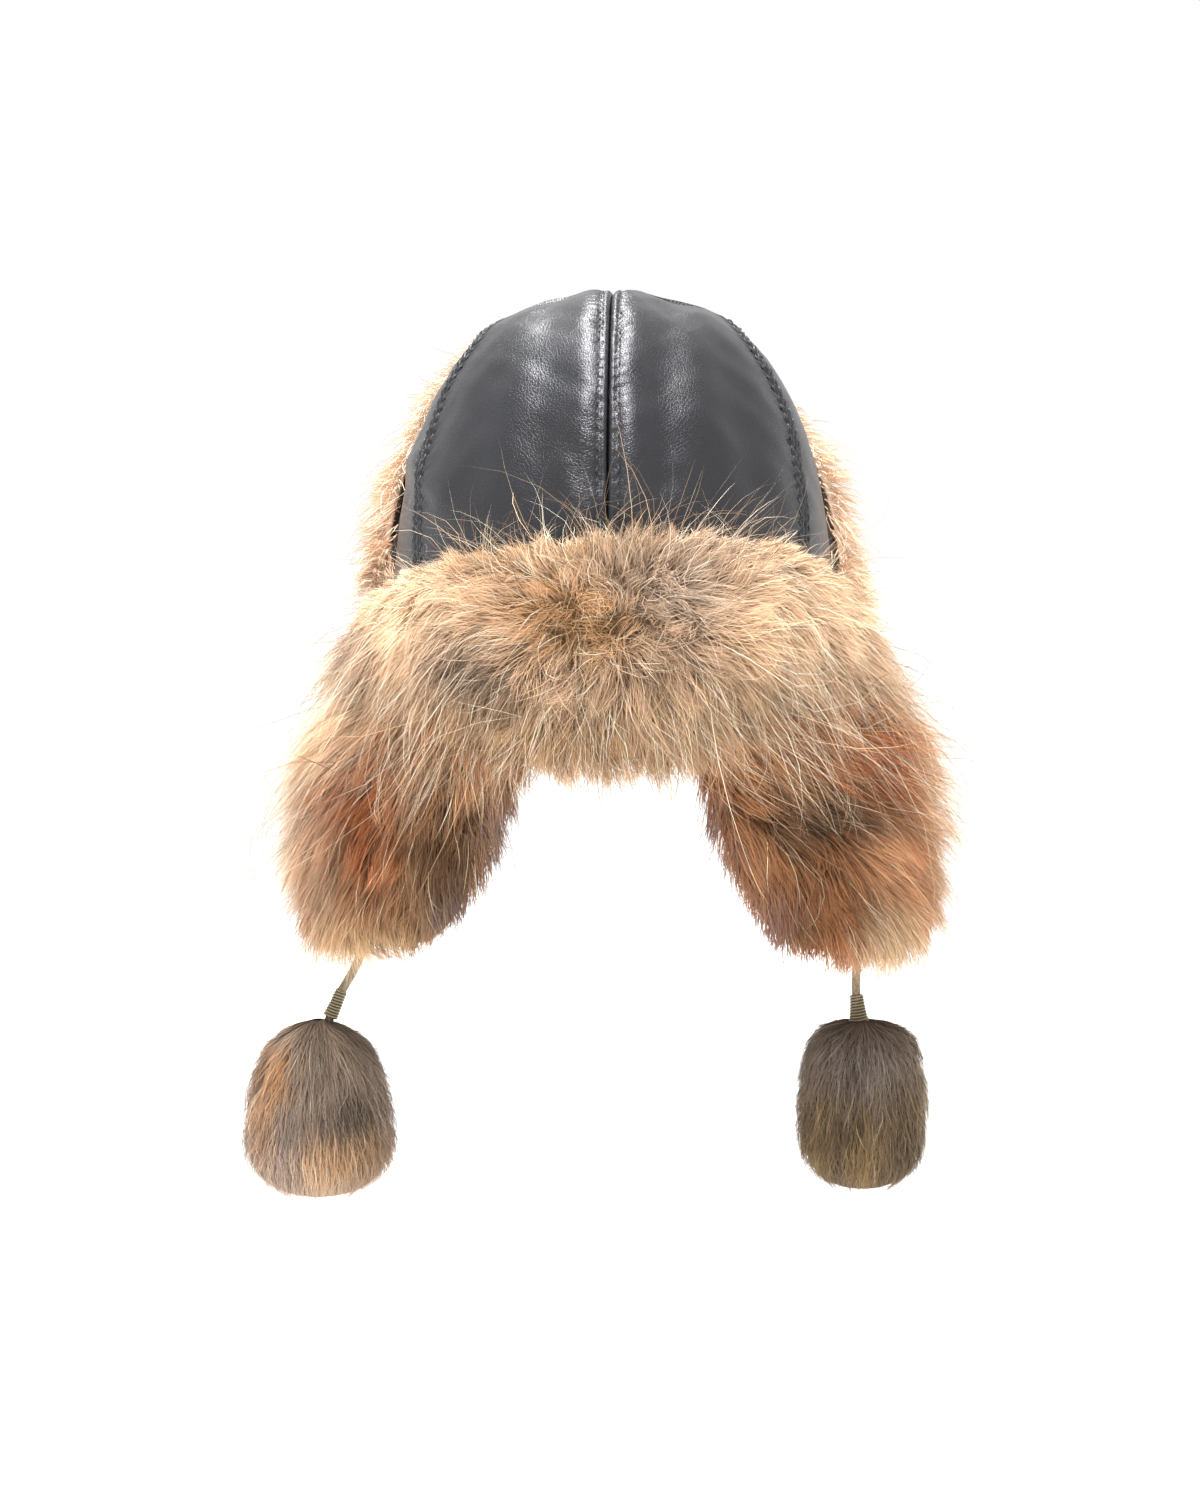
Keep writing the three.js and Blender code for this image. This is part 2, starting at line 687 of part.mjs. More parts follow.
function pompom(tie) {
  const top = new THREE.Vector3(...tie.route[POMPOM_TOP_POINT]);
  const core = new THREE.Vector3(...tie.route[tie.route.length - 1]);
  const half = tie.width / 2;
  const profile = [new THREE.Vector2(0, -tie.height)];
  for (const row of [...POMPOM_PROFILE].reverse()) {
    profile.push(new THREE.Vector2(half * row.half, -tie.height * row.fall));
  }
  profile.push(new THREE.Vector2(0, 0));
  const lathe = new THREE.LatheGeometry(profile, 10);
  lathe.rotateX(Math.PI / 2);
  lathe.translate(core.x, core.y, top.z);
  let solid = toSolid(lathe);
  const rows = [0.3, 0.62];
  rows.forEach((fall, i) => {
    for (let j = 0; j < POMPOM_LOCKS; j += 1) {
      const angle = ((j + 0.5 * i + 0.25 * scatter(i, j)) / POMPOM_LOCKS) * 2 * Math.PI;
      const radius = half * fromTable(POMPOM_PROFILE, 'fall', fall, 'half') - 1;
      const outward = new THREE.Vector3(Math.sin(angle), -Math.cos(angle), 0);
      const root = outward.clone().multiplyScalar(radius);
      root.add(new THREE.Vector3(core.x, core.y, top.z - tie.height * fall));
      const inwards = i === 0 ? 0 : -0.28;
      const along = new THREE.Vector3(0, 0, -1).addScaledVector(outward, inwards).normalize();
      solid = solid.add(lockSolid(root, outward, along, {
        length: POMPOM_LOCK_LENGTH * mix(0.85, 1.1, scatter(j, i + 2)),
        lift: 1,
        width: LOCK_WIDTH,
        thickness: LOCK_THICKNESS,
      }));
    }
  });
  const cordRoom = toSolid(cordTube(tie, FUR_CLEARANCE));
  const bindingRoom = toSolid(bindingSleeve(tie, CORD_DIAMETER / 4, FUR_CLEARANCE));
  return toGeometry(solid.subtract(cordRoom.add(bindingRoom)));
}

const SIDES = [{ name: 'left', sign: -1 }, { name: 'right', sign: 1 }];

for (const { name, sign } of SIDES) {
  addPiece(`crown_top_panel_${name}`, topPanel(sign), 'leather');
  addPiece(`crown_side_panel_${name}`, sidePanel(sign), 'leather');
}
addPiece('peak', backing(PEAK), 'backing');
addPiece('nape_flap', backing(NAPE), 'backing');

const peakRoom = furPiece(PEAK, 1, FUR_CLEARANCE);
let napeSolid = furPiece(NAPE, 1, 0);
addPiece('peak_fur', toGeometry(furPiece(PEAK, 1, 0)), 'peakFur');
for (const { name, sign } of SIDES) {
  const tie = TIES[name];
  const cordRoom = toSolid(cordTube(tie, FUR_CLEARANCE));
  addPiece(`ear_flap_${name}`, backing(EAR, sign), 'backing');
  const earSolid = furPiece(EAR, sign, 0).subtract(peakRoom).subtract(cordRoom);
  addPiece(`ear_fur_${name}`, toGeometry(earSolid), 'earFur');
  napeSolid = napeSolid.subtract(furPiece(EAR, sign, FUR_CLEARANCE));
  addPiece(`tie_cord_${name}`, cordTube(tie, 0), 'cord');
  addPiece(`tie_binding_${name}`, bindingSleeve(tie, CORD_DIAMETER / 2 + BINDING_CLEARANCE, 0), 'binding');
  addPiece(`pompom_${name}`, pompom(tie), tie.colour);
}
addPiece('nape_fur', toGeometry(napeSolid.subtract(peakRoom)), 'napeFur');

export default hat;
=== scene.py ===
import math

import bmesh
import bpy
import numpy as np
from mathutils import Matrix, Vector


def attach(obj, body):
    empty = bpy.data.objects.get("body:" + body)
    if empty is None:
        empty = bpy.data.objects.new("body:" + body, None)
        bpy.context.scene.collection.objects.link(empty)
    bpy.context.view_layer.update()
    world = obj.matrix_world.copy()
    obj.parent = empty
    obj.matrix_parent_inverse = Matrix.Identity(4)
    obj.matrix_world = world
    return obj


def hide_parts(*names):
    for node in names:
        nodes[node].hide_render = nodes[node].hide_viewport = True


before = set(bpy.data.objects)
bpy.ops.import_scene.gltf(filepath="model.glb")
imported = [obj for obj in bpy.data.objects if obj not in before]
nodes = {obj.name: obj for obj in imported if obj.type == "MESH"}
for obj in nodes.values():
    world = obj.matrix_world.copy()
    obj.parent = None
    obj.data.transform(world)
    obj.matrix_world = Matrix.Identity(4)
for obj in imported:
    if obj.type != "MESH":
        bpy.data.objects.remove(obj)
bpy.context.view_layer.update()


# Camera. The hat is seen from the front, from a little above its rim and a touch to its right side,
# and hangs slightly right of the picture's middle.
LOOK_AT = Vector((-0.0059, 0, -0.0314))
CAMERA_DISTANCE = 1.594
CAMERA_TURN = math.radians(1.5)
CAMERA_LIFT = math.radians(6)
CAMERA_LENS = 85


def in_scene(name, data):
    """A new object at the origin, from its mesh, curve, camera or light."""
    made = bpy.data.objects.new(name, data)
    bpy.context.scene.collection.objects.link(made)
    return made


camera = in_scene("camera", bpy.data.cameras.new("camera"))
camera.data.lens = CAMERA_LENS
away = Vector((
    math.sin(CAMERA_TURN) * math.cos(CAMERA_LIFT),
    -math.cos(CAMERA_TURN) * math.cos(CAMERA_LIFT),
    math.sin(CAMERA_LIFT),
))
camera.location = LOOK_AT + CAMERA_DISTANCE * away
camera.rotation_euler = away.to_track_quat("Z", "Y").to_euler()
bpy.context.scene.camera = camera


# Ties. A round leather lace leaves each ear flap's hem and hangs down into its pompom's core. It is
# tan where it leaves the flap and worn to a dark olive lower down.
CORD_DIAMETER = 0.004
CORD_POINTS = 32
TIE_ROUTES = {
    "left": [
        (-0.109, -0.026, -0.1086), (-0.1105, -0.0264, -0.116), (-0.1138, -0.0268, -0.125),
        (-0.1176, -0.0273, -0.132), (-0.1206, -0.0277, -0.137), (-0.1234, -0.028, -0.1434),
        (-0.1262, -0.028, -0.1498), (-0.1284, -0.028, -0.158), (-0.13, -0.028, -0.169),
        (-0.131, -0.028, -0.182),
    ],
    "right": [
        (0.109, -0.026, -0.1086), (0.1093, -0.0263, -0.116), (0.109, -0.0268, -0.124),
        (0.1086, -0.0274, -0.13), (0.1087, -0.0278, -0.136), (0.1093, -0.028, -0.1424),
        (0.1099, -0.028, -0.1488), (0.1106, -0.028, -0.157), (0.1112, -0.028, -0.169),
        (0.1116, -0.028, -0.182),
    ],
}


def shade(code):
    """The linear colour of a hex code, as the shader sockets take it."""
    parts = [int(code[k:k + 2], 16) / 255 for k in (0, 2, 4)]
    return tuple(p / 12.92 if p <= 0.04045 else ((p + 0.055) / 1.055) ** 2.4 for p in parts) + (1.0,)


class Value:
    """A number or colour that comes out of a node. The usual signs between numbers add Math nodes."""

    def __init__(self, finish, socket):
        self.finish = finish
        self.socket = socket

    def math(self, operation, first, second):
        return self.finish.node("ShaderNodeMath", {"operation": operation}, {0: first, 1: second})

    def __add__(self, other):
        return self.math("ADD", self, other)

    def __mul__(self, other):
        return self.math("MULTIPLY", self, other)

    def __pow__(self, other):
        return self.math("POWER", self, other)

    __radd__ = __add__
    __rmul__ = __mul__


class Finish:
    """A material. What is the same all over is set on its shader, and node() adds what varies."""

    def __init__(self, name, **even):
        self.material = bpy.data.materials.new(name)
        self.material.use_nodes = True
        self.tree = self.material.node_tree
        self.shader = self.tree.nodes["Principled BSDF"]
        self.fill(self.shader, {socket.replace("_", " "): value for socket, value in even.items()})

    def fill(self, node, sockets):
        for name, value in sockets.items():
            if isinstance(value, Value):
                self.tree.links.new(value.socket, node.inputs[name])
            else:
                node.inputs[name].default_value = value

    def node(self, kind, settings=None, sockets=None, output=0):
        made = self.tree.nodes.new(kind)
        for name, setting in (settings or {}).items():
            setattr(made, name, setting)
        self.fill(made, sockets or {})
        return Value(self, made.outputs[output])

    def place(self):
        return self.node("ShaderNodeTexCoord", output="Object")

    def noise(self, scale, detail=2.0, place=None):
        sockets = {"Vector": place or self.place(), "Scale": scale, "Detail": detail}
        return self.node("ShaderNodeTexNoise", None, sockets)

    def tint(self):
        """The colour that is painted on the points of the piece's mesh."""
        return self.node("ShaderNodeAttribute", {"attribute_name": "tint"}, None, "Color")

    def blend(self, factor, low, high):
        sockets = {0: factor, 6: low, 7: high}
        return self.node("ShaderNodeMix", {"data_type": "RGBA"}, sockets, 2)

    def finish(self, colour=None, roughness=None, relief=None, depth=0.0):
        """Feeds what varies to the shader. The relief is a height, and depth its size in metres."""
        fed = {}
        if colour is not None:
            fed["Base Color"] = colour
        if roughness is not None:
            fed["Roughness"] = roughness
        if relief is not None:
            fed["Normal"] = self.node("ShaderNodeBump", None, {"Distance": depth, "Height": relief})
        self.fill(self.shader, fed)
        return self.material


def smooth_through(knots, values, at):
    """What a smooth curve through a table's rows is at each place along them."""
    knots, values, at = (np.asarray(x, float) for x in (knots, values, at))
    rows = np.arange(len(knots))
    ahead, behind = np.minimum(rows + 1, len(rows) - 1), np.maximum(rows - 1, 0)
    wide = (-1,) + (1,) * (values.ndim - 1)
    slopes = (values[ahead] - values[behind]) / (knots[ahead] - knots[behind]).reshape(wide)
    low = np.clip(np.searchsorted(knots, at, side="right") - 1, 0, len(rows) - 2)
    span = knots[low + 1] - knots[low]
    share = np.clip((at - knots[low]) / span, 0, 1)
    if values.ndim > 1:
        span, share = span[..., None], share[..., None]
    rise = values[low + 1] - values[low]
    start, end = slopes[low] * span - rise, rise - slopes[low + 1] * span
    return values[low] + rise * share + share * (1 - share) * ((1 - share) * start + share * end)


def along_route(route, count):
    """Points at equal steps along a smooth curve through a route."""
    route = np.array(route)
    steps = np.linalg.norm(np.diff(route, axis=0), axis=1)
    knots = np.concatenate([[0], np.cumsum(steps)])
    return smooth_through(knots, route, np.linspace(0, knots[-1], count))


def line_piece(name, points, thickness):
    """A round line through points, as a curve of one open spline."""
    curve = bpy.data.curves.new(name, "CURVE")
    curve.dimensions = "3D"
    curve.bevel_depth = thickness / 2
    curve.bevel_resolution = 3
    curve.use_fill_caps = True
    spline = curve.splines.new("POLY")
    spline.points.add(len(points) - 1)
    for point, place in zip(spline.points, points):
        point.co = (*place, 1)
    return in_scene(name, curve)


LACE_WORN = -0.142
LACE_FRESH = -0.116

lace = Finish("tie_lace", Roughness=0.62, Specular_IOR_Level=0.4)
lace_height = lace.node("ShaderNodeSeparateXYZ", None, {0: lace.place()}, "Z")
lace_wear = lace.node("ShaderNodeMapRange", None, {
    "Value": lace_height + 0.012 * lace.noise(260.0),
    "From Min": LACE_WORN, "From Max": LACE_FRESH,
})
lace_colour = lace.blend(lace_wear, shade("4d4637"), shade("b7a184"))
lace_colour = lace.blend(lace.noise(900.0, 3.0) ** 2.0, lace_colour, shade("2f2a21"))
lace.finish(colour=lace_colour, relief=lace.noise(1500.0, 4.0), depth=0.0004)

for side in ("left", "right"):
    cord = line_piece(f"cord_{side}", along_route(TIE_ROUTES[side], CORD_POINTS), CORD_DIAMETER)
    cord.data.materials.append(lace.material)
    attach(cord, "root")
    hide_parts(f"tie_cord_{side}")


# Crown. Four panels of dark lambskin, sewn edge to edge: two over the top, which meet in the middle
# seam, and an arched one at each side. The seams are pressed open and topstitched on both sides.
CROWN_HALF_WIDTH = 0.099
CROWN_HALF_LENGTH = 0.115
CROWN_HEIGHT = 0.172
CROWN_FULLNESS = 2.62
LEATHER_WALL = 0.0022
SEAM_GAP = 0.0003
SEAM_LAP = 0.0001
SIDE_PANEL_HEIGHT = 0.158
SIDE_PANEL_HALF_TURN = 34
ARCH_RISE = [0, 0.25, 0.5, 0.77, 0.94, 1]
ARCH_SPREAD = [1, 0.94, 0.8, 0.6, 0.46, 0]
SEAM_SAMPLES = 1201
SEAM_RIDGE_HEIGHT = 0.002
SEAM_RIDGE_OFFSET = 0.009
SEAM_RIDGE_WIDTH = 0.007
SEAM_ROLL_DEPTH = 0.0009
SEAM_ROLL_WIDTH = 0.0005
SEAM_PROUD_HEIGHT = 0.0007
SEAM_PROUD_OFFSET = 0.0022
SEAM_PROUD_WIDTH = 0.0014
STITCH_PINCH_DEPTH = 0.0006
STITCH_PINCH_WIDTH = 0.0007
PUCKER_REACH = 0.0042
PUCKER_HEIGHT = 0.00055
PUCKER_UNEVEN = 0.0004
STITCH_PITCH = 0.005
STITCH_ROW = 0.0044
PEAK_HEIGHT = 0.062
NAPE_HEIGHT = 0.15
BARE_FROM = 0.002
BARE_FULLY = 0.018
FOLD_WANDER = 0.0015
# Soft ripples all over the bare leather, by their height, length and seed
RIPPLES = [(0.0005, 0.045, 11), (0.00022, 0.016, 12)]
# Soft folds in front, as lines from (x, z) to (x, z), with a depth and a width
FOLDS = [
    ((-0.0267, 0.1668), (-0.0297, 0.1032), -0.0014, 0.008),
    ((0.0267, 0.1686), (0.0218, 0.0946), -0.0019, 0.008),
    ((-0.0842, 0.0963), (-0.0416, 0.0568), 0.0022, 0.008),
    ((0.0129, 0.117), (0.0149, 0.0688), 0.0019, 0.008),
    ((0.0495, 0.1376), (0.0653, 0.086), -0.0017, 0.008),
    ((-0.05, 0.128), (-0.062, 0.09), -0.0012, 0.011),
    ((-0.078, 0.082), (-0.03, 0.07), -0.0011, 0.006),
    ((-0.018, 0.1), (-0.012, 0.066), 0.0012, 0.004),
    ((0.03, 0.098), (0.036, 0.07), 0.001, 0.005),
    ((0.07, 0.09), (0.05, 0.068), 0.0012, 0.006),
]


def sized(vectors):
    return np.linalg.norm(vectors, axis=-1, keepdims=True)


def unit(vectors):
    return vectors / np.maximum(sized(vectors), 1e-12)


def eased(value, low, high):
    """0 up to the low value and 1 from the high one, with a soft step between."""
    share = np.clip((value - low) / (high - low), 0, 1)
    return share * share * (3 - 2 * share)


EAR_DROP = 0.108
EAR_FLARE = 0.013


def flare_at(height):
    """How much further out the ear flaps stand than the crown's rim, below it."""
    return EAR_FLARE * np.clip(-height / EAR_DROP, 0, 1.25) ** 1.2


def outward_at(point):
    """The way out of the crown or an ear flap at a place on it."""
    x, y, z = np.moveaxis(point, -1, 0)
    across = x / (CROWN_HALF_WIDTH + flare_at(z))
    along = y / CROWN_HALF_LENGTH
    around = (across ** 2 + along ** 2) ** (CROWN_FULLNESS / 2 - 1)
    up = (np.maximum(z, 0) / CROWN_HEIGHT) ** (CROWN_FULLNESS - 1) / CROWN_HEIGHT
    return unit(np.stack([
        around * across / CROWN_HALF_WIDTH, around * along / CROWN_HALF_LENGTH, up + 0 * x,
    ], axis=-1))


def hat_point(turn, height, out):
    """A place by its turn from the front in degrees, its height, and how far out from the crown."""
    rise = np.clip(height / CROWN_HEIGHT, 0, 1)
    scale = (1 - rise ** CROWN_FULLNESS) ** (1 / CROWN_FULLNESS)
    angle = np.radians(turn)
    point = np.stack([
        (CROWN_HALF_WIDTH + flare_at(height)) * scale * np.sin(angle),
        -CROWN_HALF_LENGTH * scale * np.cos(angle),
        height + 0 * angle,
    ], axis=-1)
    return point + outward_at(point) * np.asarray(out)[..., None]


def crown_along(direction):
    """The place on the crown's face that lies in a direction from the middle of the head opening."""
    x, y, z = np.moveaxis(direction, -1, 0)
    oval = ((x / CROWN_HALF_WIDTH) ** 2 + (y / CROWN_HALF_LENGTH) ** 2) ** (CROWN_FULLNESS / 2)
    reach = (oval + (np.maximum(z, 0) / CROWN_HEIGHT) ** CROWN_FULLNESS) ** (-1 / CROWN_FULLNESS)
    return direction * reach[..., None]


def arch_seam(share):
    """The right side's arched seam, from its front foot over its top to its back foot."""
    rise = np.sin((1 - np.abs(2 * share - 1)) * np.pi / 2)
    spread = SIDE_PANEL_HALF_TURN * smooth_through(ARCH_RISE, ARCH_SPREAD, rise)
    turn = np.where(share < 0.5, 90 - spread, 90 + spread)
    return hat_point(turn, SIDE_PANEL_HEIGHT * rise, 0 * rise)


def middle_seam(share):
    """The seam over the top of the crown, from the brow to the nape."""
    lift = share * np.pi
    return crown_along(np.stack([
        0 * lift, -CROWN_HALF_LENGTH * np.cos(lift), CROWN_HEIGHT * np.sin(lift),
    ], axis=-1))


def seam_length(seam, share):
    """How far along a seam each share of it lies, in metres."""
    fine = np.linspace(0, 1, SEAM_SAMPLES)
    steps = np.linalg.norm(np.diff(seam(fine), axis=0), axis=1)
    return np.interp(share, fine, np.concatenate([[0], np.cumsum(steps)]))


WAVE_COUNT = 7


def soft_waves(point, length, seed):
    """A smooth random height from about -1 to 1, with bumps of about that length."""
    random = np.random.default_rng(seed)
    total = 0
    for _ in range(WAVE_COUNT):
        ray = random.normal(size=3)
        total = total + np.sin(point @ (ray / np.linalg.norm(ray)) * 2 * np.pi / length
                               * random.uniform(0.7, 1.6) + random.uniform(0, 6.28))
    return total / (WAVE_COUNT / 2)


def fold_relief(point):
    """The leather's soft form above the flaps: a ridge beside the middle seam, folds and ripples."""
    x, y, z = np.moveaxis(point, -1, 0)
    covered = np.where(y < 0, PEAK_HEIGHT, NAPE_HEIGHT)
    bare = eased(z, covered + BARE_FROM, covered + BARE_FULLY)
    relief = SEAM_RIDGE_HEIGHT * np.exp(-((np.abs(x) - SEAM_RIDGE_OFFSET) / SEAM_RIDGE_WIDTH) ** 2)
    here = np.stack([x, z], axis=-1)
    for start, end, depth, width in FOLDS:
        start, way = np.array(start), np.array(end) - np.array(start)
        share = np.clip((here - start) @ way / (way @ way), 0, 1)
        off = here - start - share[..., None] * way
        off = np.linalg.norm(off, axis=-1) + FOLD_WANDER * soft_waves(point, 0.03, 5)
        relief = relief + np.where(y < 0, depth * np.exp(-(off / width) ** 2), 0)
    for height, length, seed in RIPPLES:
        relief = relief + height * soft_waves(point, length, seed)
    return relief * bare


def seam_relief(across_seam, run, seed):
    """The form beside a seam: its edge rolls in, stands proud up to the stitches, and puckers."""
    off = np.abs(across_seam)
    roll = (-SEAM_ROLL_DEPTH * np.exp(-(off / SEAM_ROLL_WIDTH) ** 2)
            + SEAM_PROUD_HEIGHT * np.exp(-((off - SEAM_PROUD_OFFSET) / SEAM_PROUD_WIDTH) ** 2))
    pinch = -STITCH_PINCH_DEPTH * np.exp(-((off - STITCH_ROW) / STITCH_PINCH_WIDTH) ** 2)
    beat = np.cos(run * 2 * np.pi / STITCH_PITCH)
    uneven = soft_waves(np.stack([run, across_seam * 0.4, 0 * run], axis=-1), 0.009, seed)
    reach = np.exp(-((off - PUCKER_REACH) / PUCKER_REACH) ** 2)
    pucker = (PUCKER_HEIGHT * beat + PUCKER_UNEVEN * uneven) * reach
    return roll + pinch + pucker


def mesh_from(name, made, *materials):
    """A smooth mesh from a bmesh, which it uses up."""
    for face in made.faces:
        face.smooth = True
    mesh = bpy.data.meshes.new(name)
    made.to_mesh(mesh)
    made.free()
    for material in materials:
        mesh.materials.append(material)
    return mesh


def grid_piece(name, columns, rows, place_at, slots):
    """A sheet of faces whose places come from shares across it and up it."""
    made = bmesh.new()
    bmesh.ops.create_grid(made, x_segments=columns, y_segments=rows, size=0.5)
    flat = np.array([v.co for v in made.verts])
    for vertex, place in zip(made.verts, place_at(flat[:, 0] + 0.5, flat[:, 1] + 0.5)):
        vertex.co = place
    made.normal_update()
    outward = sum(face.normal.dot(face.calc_center_median()) for face in made.faces)
    if outward < 0:
        bmesh.ops.reverse_faces(made, faces=made.faces)
    return in_scene(name, mesh_from(name, made, *slots))


# The leather's patterns, by how many of their cells or bumps go to a metre
LEATHER_CELLS = 820.0
LEATHER_CREASES = 420.0
LEATHER_SHINE = 300.0
LEATHER_CLOUDS = 28.0
LEATHER_GRAIN_DEPTH = 0.00015

leather = Finish("crown_leather", Specular_IOR_Level=0.6, Specular_Tint=(0.96, 0.95, 1, 1))
leather_cells = leather.node(
    "ShaderNodeTexVoronoi", {"feature": "DISTANCE_TO_EDGE"},
    {"Vector": leather.place(), "Scale": LEATHER_CELLS},
)
leather_grain = leather_cells ** 0.5 + 0.5 * leather.noise(LEATHER_CREASES, 4.0)
leather_cloud = leather.noise(LEATHER_CLOUDS, 3.0)
leather_colour = leather.blend(leather_cloud, shade("0e0f11"), shade("1a1b1f"))
leather.finish(
    colour=leather_colour,
    roughness=0.25 + 0.1 * leather_cloud + 0.03 * leather.noise(LEATHER_SHINE),
    relief=leather_grain,
    depth=LEATHER_GRAIN_DEPTH,
)
lining = Finish("lining", Roughness=0.75, Base_Color=shade("1b1b1d"))
lining.finish(relief=lining.noise(1400.0, 2.0), depth=0.0002)


def thick_leather(piece, node):
    """Gives a panel its wall, inwards from its face, and the place of its node."""
    wall = piece.modifiers.new("wall", "SOLIDIFY")
    wall.thickness = LEATHER_WALL
    wall.offset = -1
    wall.material_offset = 1
    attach(piece, "root")
    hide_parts(node)


# How the rows of a panel's faces crowd together along its seams
TOP_CROWDING_ACROSS = 0.1
TOP_CROWDING_UP = 0.028
SIDE_CROWDING_ACROSS = 0.08
SIDE_CROWDING_UP = 1.15


def top_panel_place(side):
    """A function that gives places on a top panel, from the middle seam across to the arched one."""
    def place_at(across, up):
        up = up + TOP_CROWDING_UP * np.sin(2 * np.pi * up)
        across = across - TOP_CROWDING_ACROSS * np.sin(2 * np.pi * across)
        middle, arch = middle_seam(up), arch_seam(up)
        width = sized(middle - arch)[..., 0]
        lap = SEAM_LAP / width
        share = (1 + 2 * lap) * across - lap
        point = crown_along(middle + (arch - middle) * share[..., None])
        relief = (fold_relief(point * (side, 1, 1))
                  + seam_relief(side * share * width, seam_length(middle_seam, up), 21)
                  + seam_relief((share - 1) * width, seam_length(arch_seam, up), 31 + side))
        point = point * (side, 1, 1)
        return point + outward_at(point) * relief[..., None]
    return place_at


def side_panel_place(side):
    """A function that gives places on a side panel, from the front of its arch across to the back."""
    def place_at(across, up):
        up = 1 - (1 - up) ** SIDE_CROWDING_UP
        across = across - SIDE_CROWDING_ACROSS * np.sin(2 * np.pi * across)
        front, back = arch_seam(up / 2), arch_seam(1 - up / 2)
        width = np.maximum(sized(front - back)[..., 0], SEAM_GAP)
        lap = np.minimum(SEAM_LAP / width, 0.5)
        share = (1 + 2 * lap) * across - lap
        point = front + (back - front) * share[..., None]
        point = crown_along(point)
        relief = (seam_relief(share * width, seam_length(arch_seam, up / 2), 31 + side)
                  + seam_relief((1 - share) * width, seam_length(arch_seam, 1 - up / 2), 31 + side))
        point = point * (side, 1, 1)
        relief = relief + fold_relief(point)
        return point + outward_at(point) * relief[..., None]
    return place_at


SIDES = {"left": -1, "right": 1}
TOP_PANEL_MESH = (38, 300)
SIDE_PANEL_MESH = (44, 130)
for side, sign in SIDES.items():
    slots = [leather.material, lining.material]
    top = grid_piece(f"crown_top_{side}", *TOP_PANEL_MESH, top_panel_place(sign), slots)
    thick_leather(top, f"crown_top_panel_{side}")
    arch = grid_piece(f"crown_side_{side}", *SIDE_PANEL_MESH, side_panel_place(sign), slots)
    thick_leather(arch, f"crown_side_panel_{side}")


# Topstitching. Dark bonded thread runs down both sides of the middle seam and of each arched seam,
# in stitches that sink into the leather at their ends.
STITCH_LENGTH = 0.0037
STITCH_THICKNESS = 0.0011
STITCH_RISE = 0.00005
SEAM_STEP = 0.001
STITCHED_ABOVE = 0.01

thread = Finish("topstitch_thread", Roughness=0.38, Base_Color=shade("17181a"), Sheen_Weight=0.2)
thread.finish(relief=thread.noise(2600.0, 2.0), depth=0.0002)


def stitch_rows():
    """The middle and the direction of every stitch, with the crown's outward way there."""
    rows = []
    for sign in SIDES.values():
        for seam, mirrored in ((middle_seam, 1), (arch_seam, 1), (arch_seam, -1)):
            length = float(seam_length(seam, 1.0))
            count = int(length / STITCH_PITCH)
            run = (np.arange(count) + 0.5) * STITCH_PITCH
            fine = np.linspace(0, 1, SEAM_SAMPLES)
            share = np.interp(run, seam_length(seam, fine), fine)
            place = seam(share) * (sign, 1, 1)
            after, before = np.clip(share + SEAM_STEP, 0, 1), np.clip(share - SEAM_STEP, 0, 1)
            ahead = unit(seam(after) - seam(before))
            ahead = ahead * (sign, 1, 1)
            away_from_seam = np.cross(outward_at(place), ahead)
            if seam is middle_seam:
                away_from_seam = away_from_seam * np.sign(away_from_seam[:, :1] * sign)
            else:
                away_from_seam = away_from_seam * mirrored
            place = place + away_from_seam * STITCH_ROW
            base = crown_along(place)
            out = outward_at(base)
            base = base + out * (fold_relief(base) + STITCH_RISE)[:, None]
            kept = base[:, 2] > STITCHED_ABOVE
            rows.append((base[kept], ahead[kept], out[kept]))
    return [np.concatenate(part) for part in zip(*rows)]


def faced_piece(name, places, faces, material):
    """One smooth mesh of many like shapes, from each one's own places and the faces of one."""
    firsts = np.arange(len(places))[:, None, None] * places.shape[1]
    mesh = bpy.data.meshes.new(name)
    mesh.from_pydata(places.reshape(-1, 3), [], (faces[None] + firsts).reshape(-1, faces.shape[1]).tolist())
    mesh.shade_smooth()
    mesh.materials.append(material)
    return in_scene(name, mesh)


def many_of(name, shape, middles, ahead, outward, material):
    """One mesh of many copies of a small shape, each turned to its own ways."""
    ahead = unit(ahead - (ahead * outward).sum(-1, keepdims=True) * outward)
    side = np.cross(outward, ahead)
    ways = np.stack([ahead, side, outward], axis=1)
    corners = np.array([v.co for v in shape.verts])
    faces = np.array([[v.index for v in face.verts] for face in shape.faces])
    places = middles[:, None, :] + np.einsum("vk,nkx->nvx", corners, ways)
    return faced_piece(name, places, faces, material)


stitch = bmesh.new()
bmesh.ops.create_icosphere(stitch, subdivisions=1, radius=0.5)
bmesh.ops.scale(stitch, vec=(STITCH_LENGTH, STITCH_THICKNESS, STITCH_THICKNESS), verts=stitch.verts)
stitch.verts.index_update()
stitches = many_of("topstitching", stitch, *stitch_rows(), thread.material)
stitch.free()
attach(stitches, "root")


# Backings. The peak, the ear flaps and the turned-up back flap are cut from lambskin too, and keep the
# part's own shapes. The peak's shows a little above its fur, and the ear flaps' from behind.
backing = Finish("backing_leather", Roughness=0.6, Base_Color=shade("2a2725"))
backing.finish(relief=backing.noise(900.0, 4.0), depth=0.0003)
for name in ("nape_flap", "ear_flap_left", "ear_flap_right"):
    nodes[name].material_slots[0].material = backing.material
nodes["peak"].material_slots[0].material = leather.material


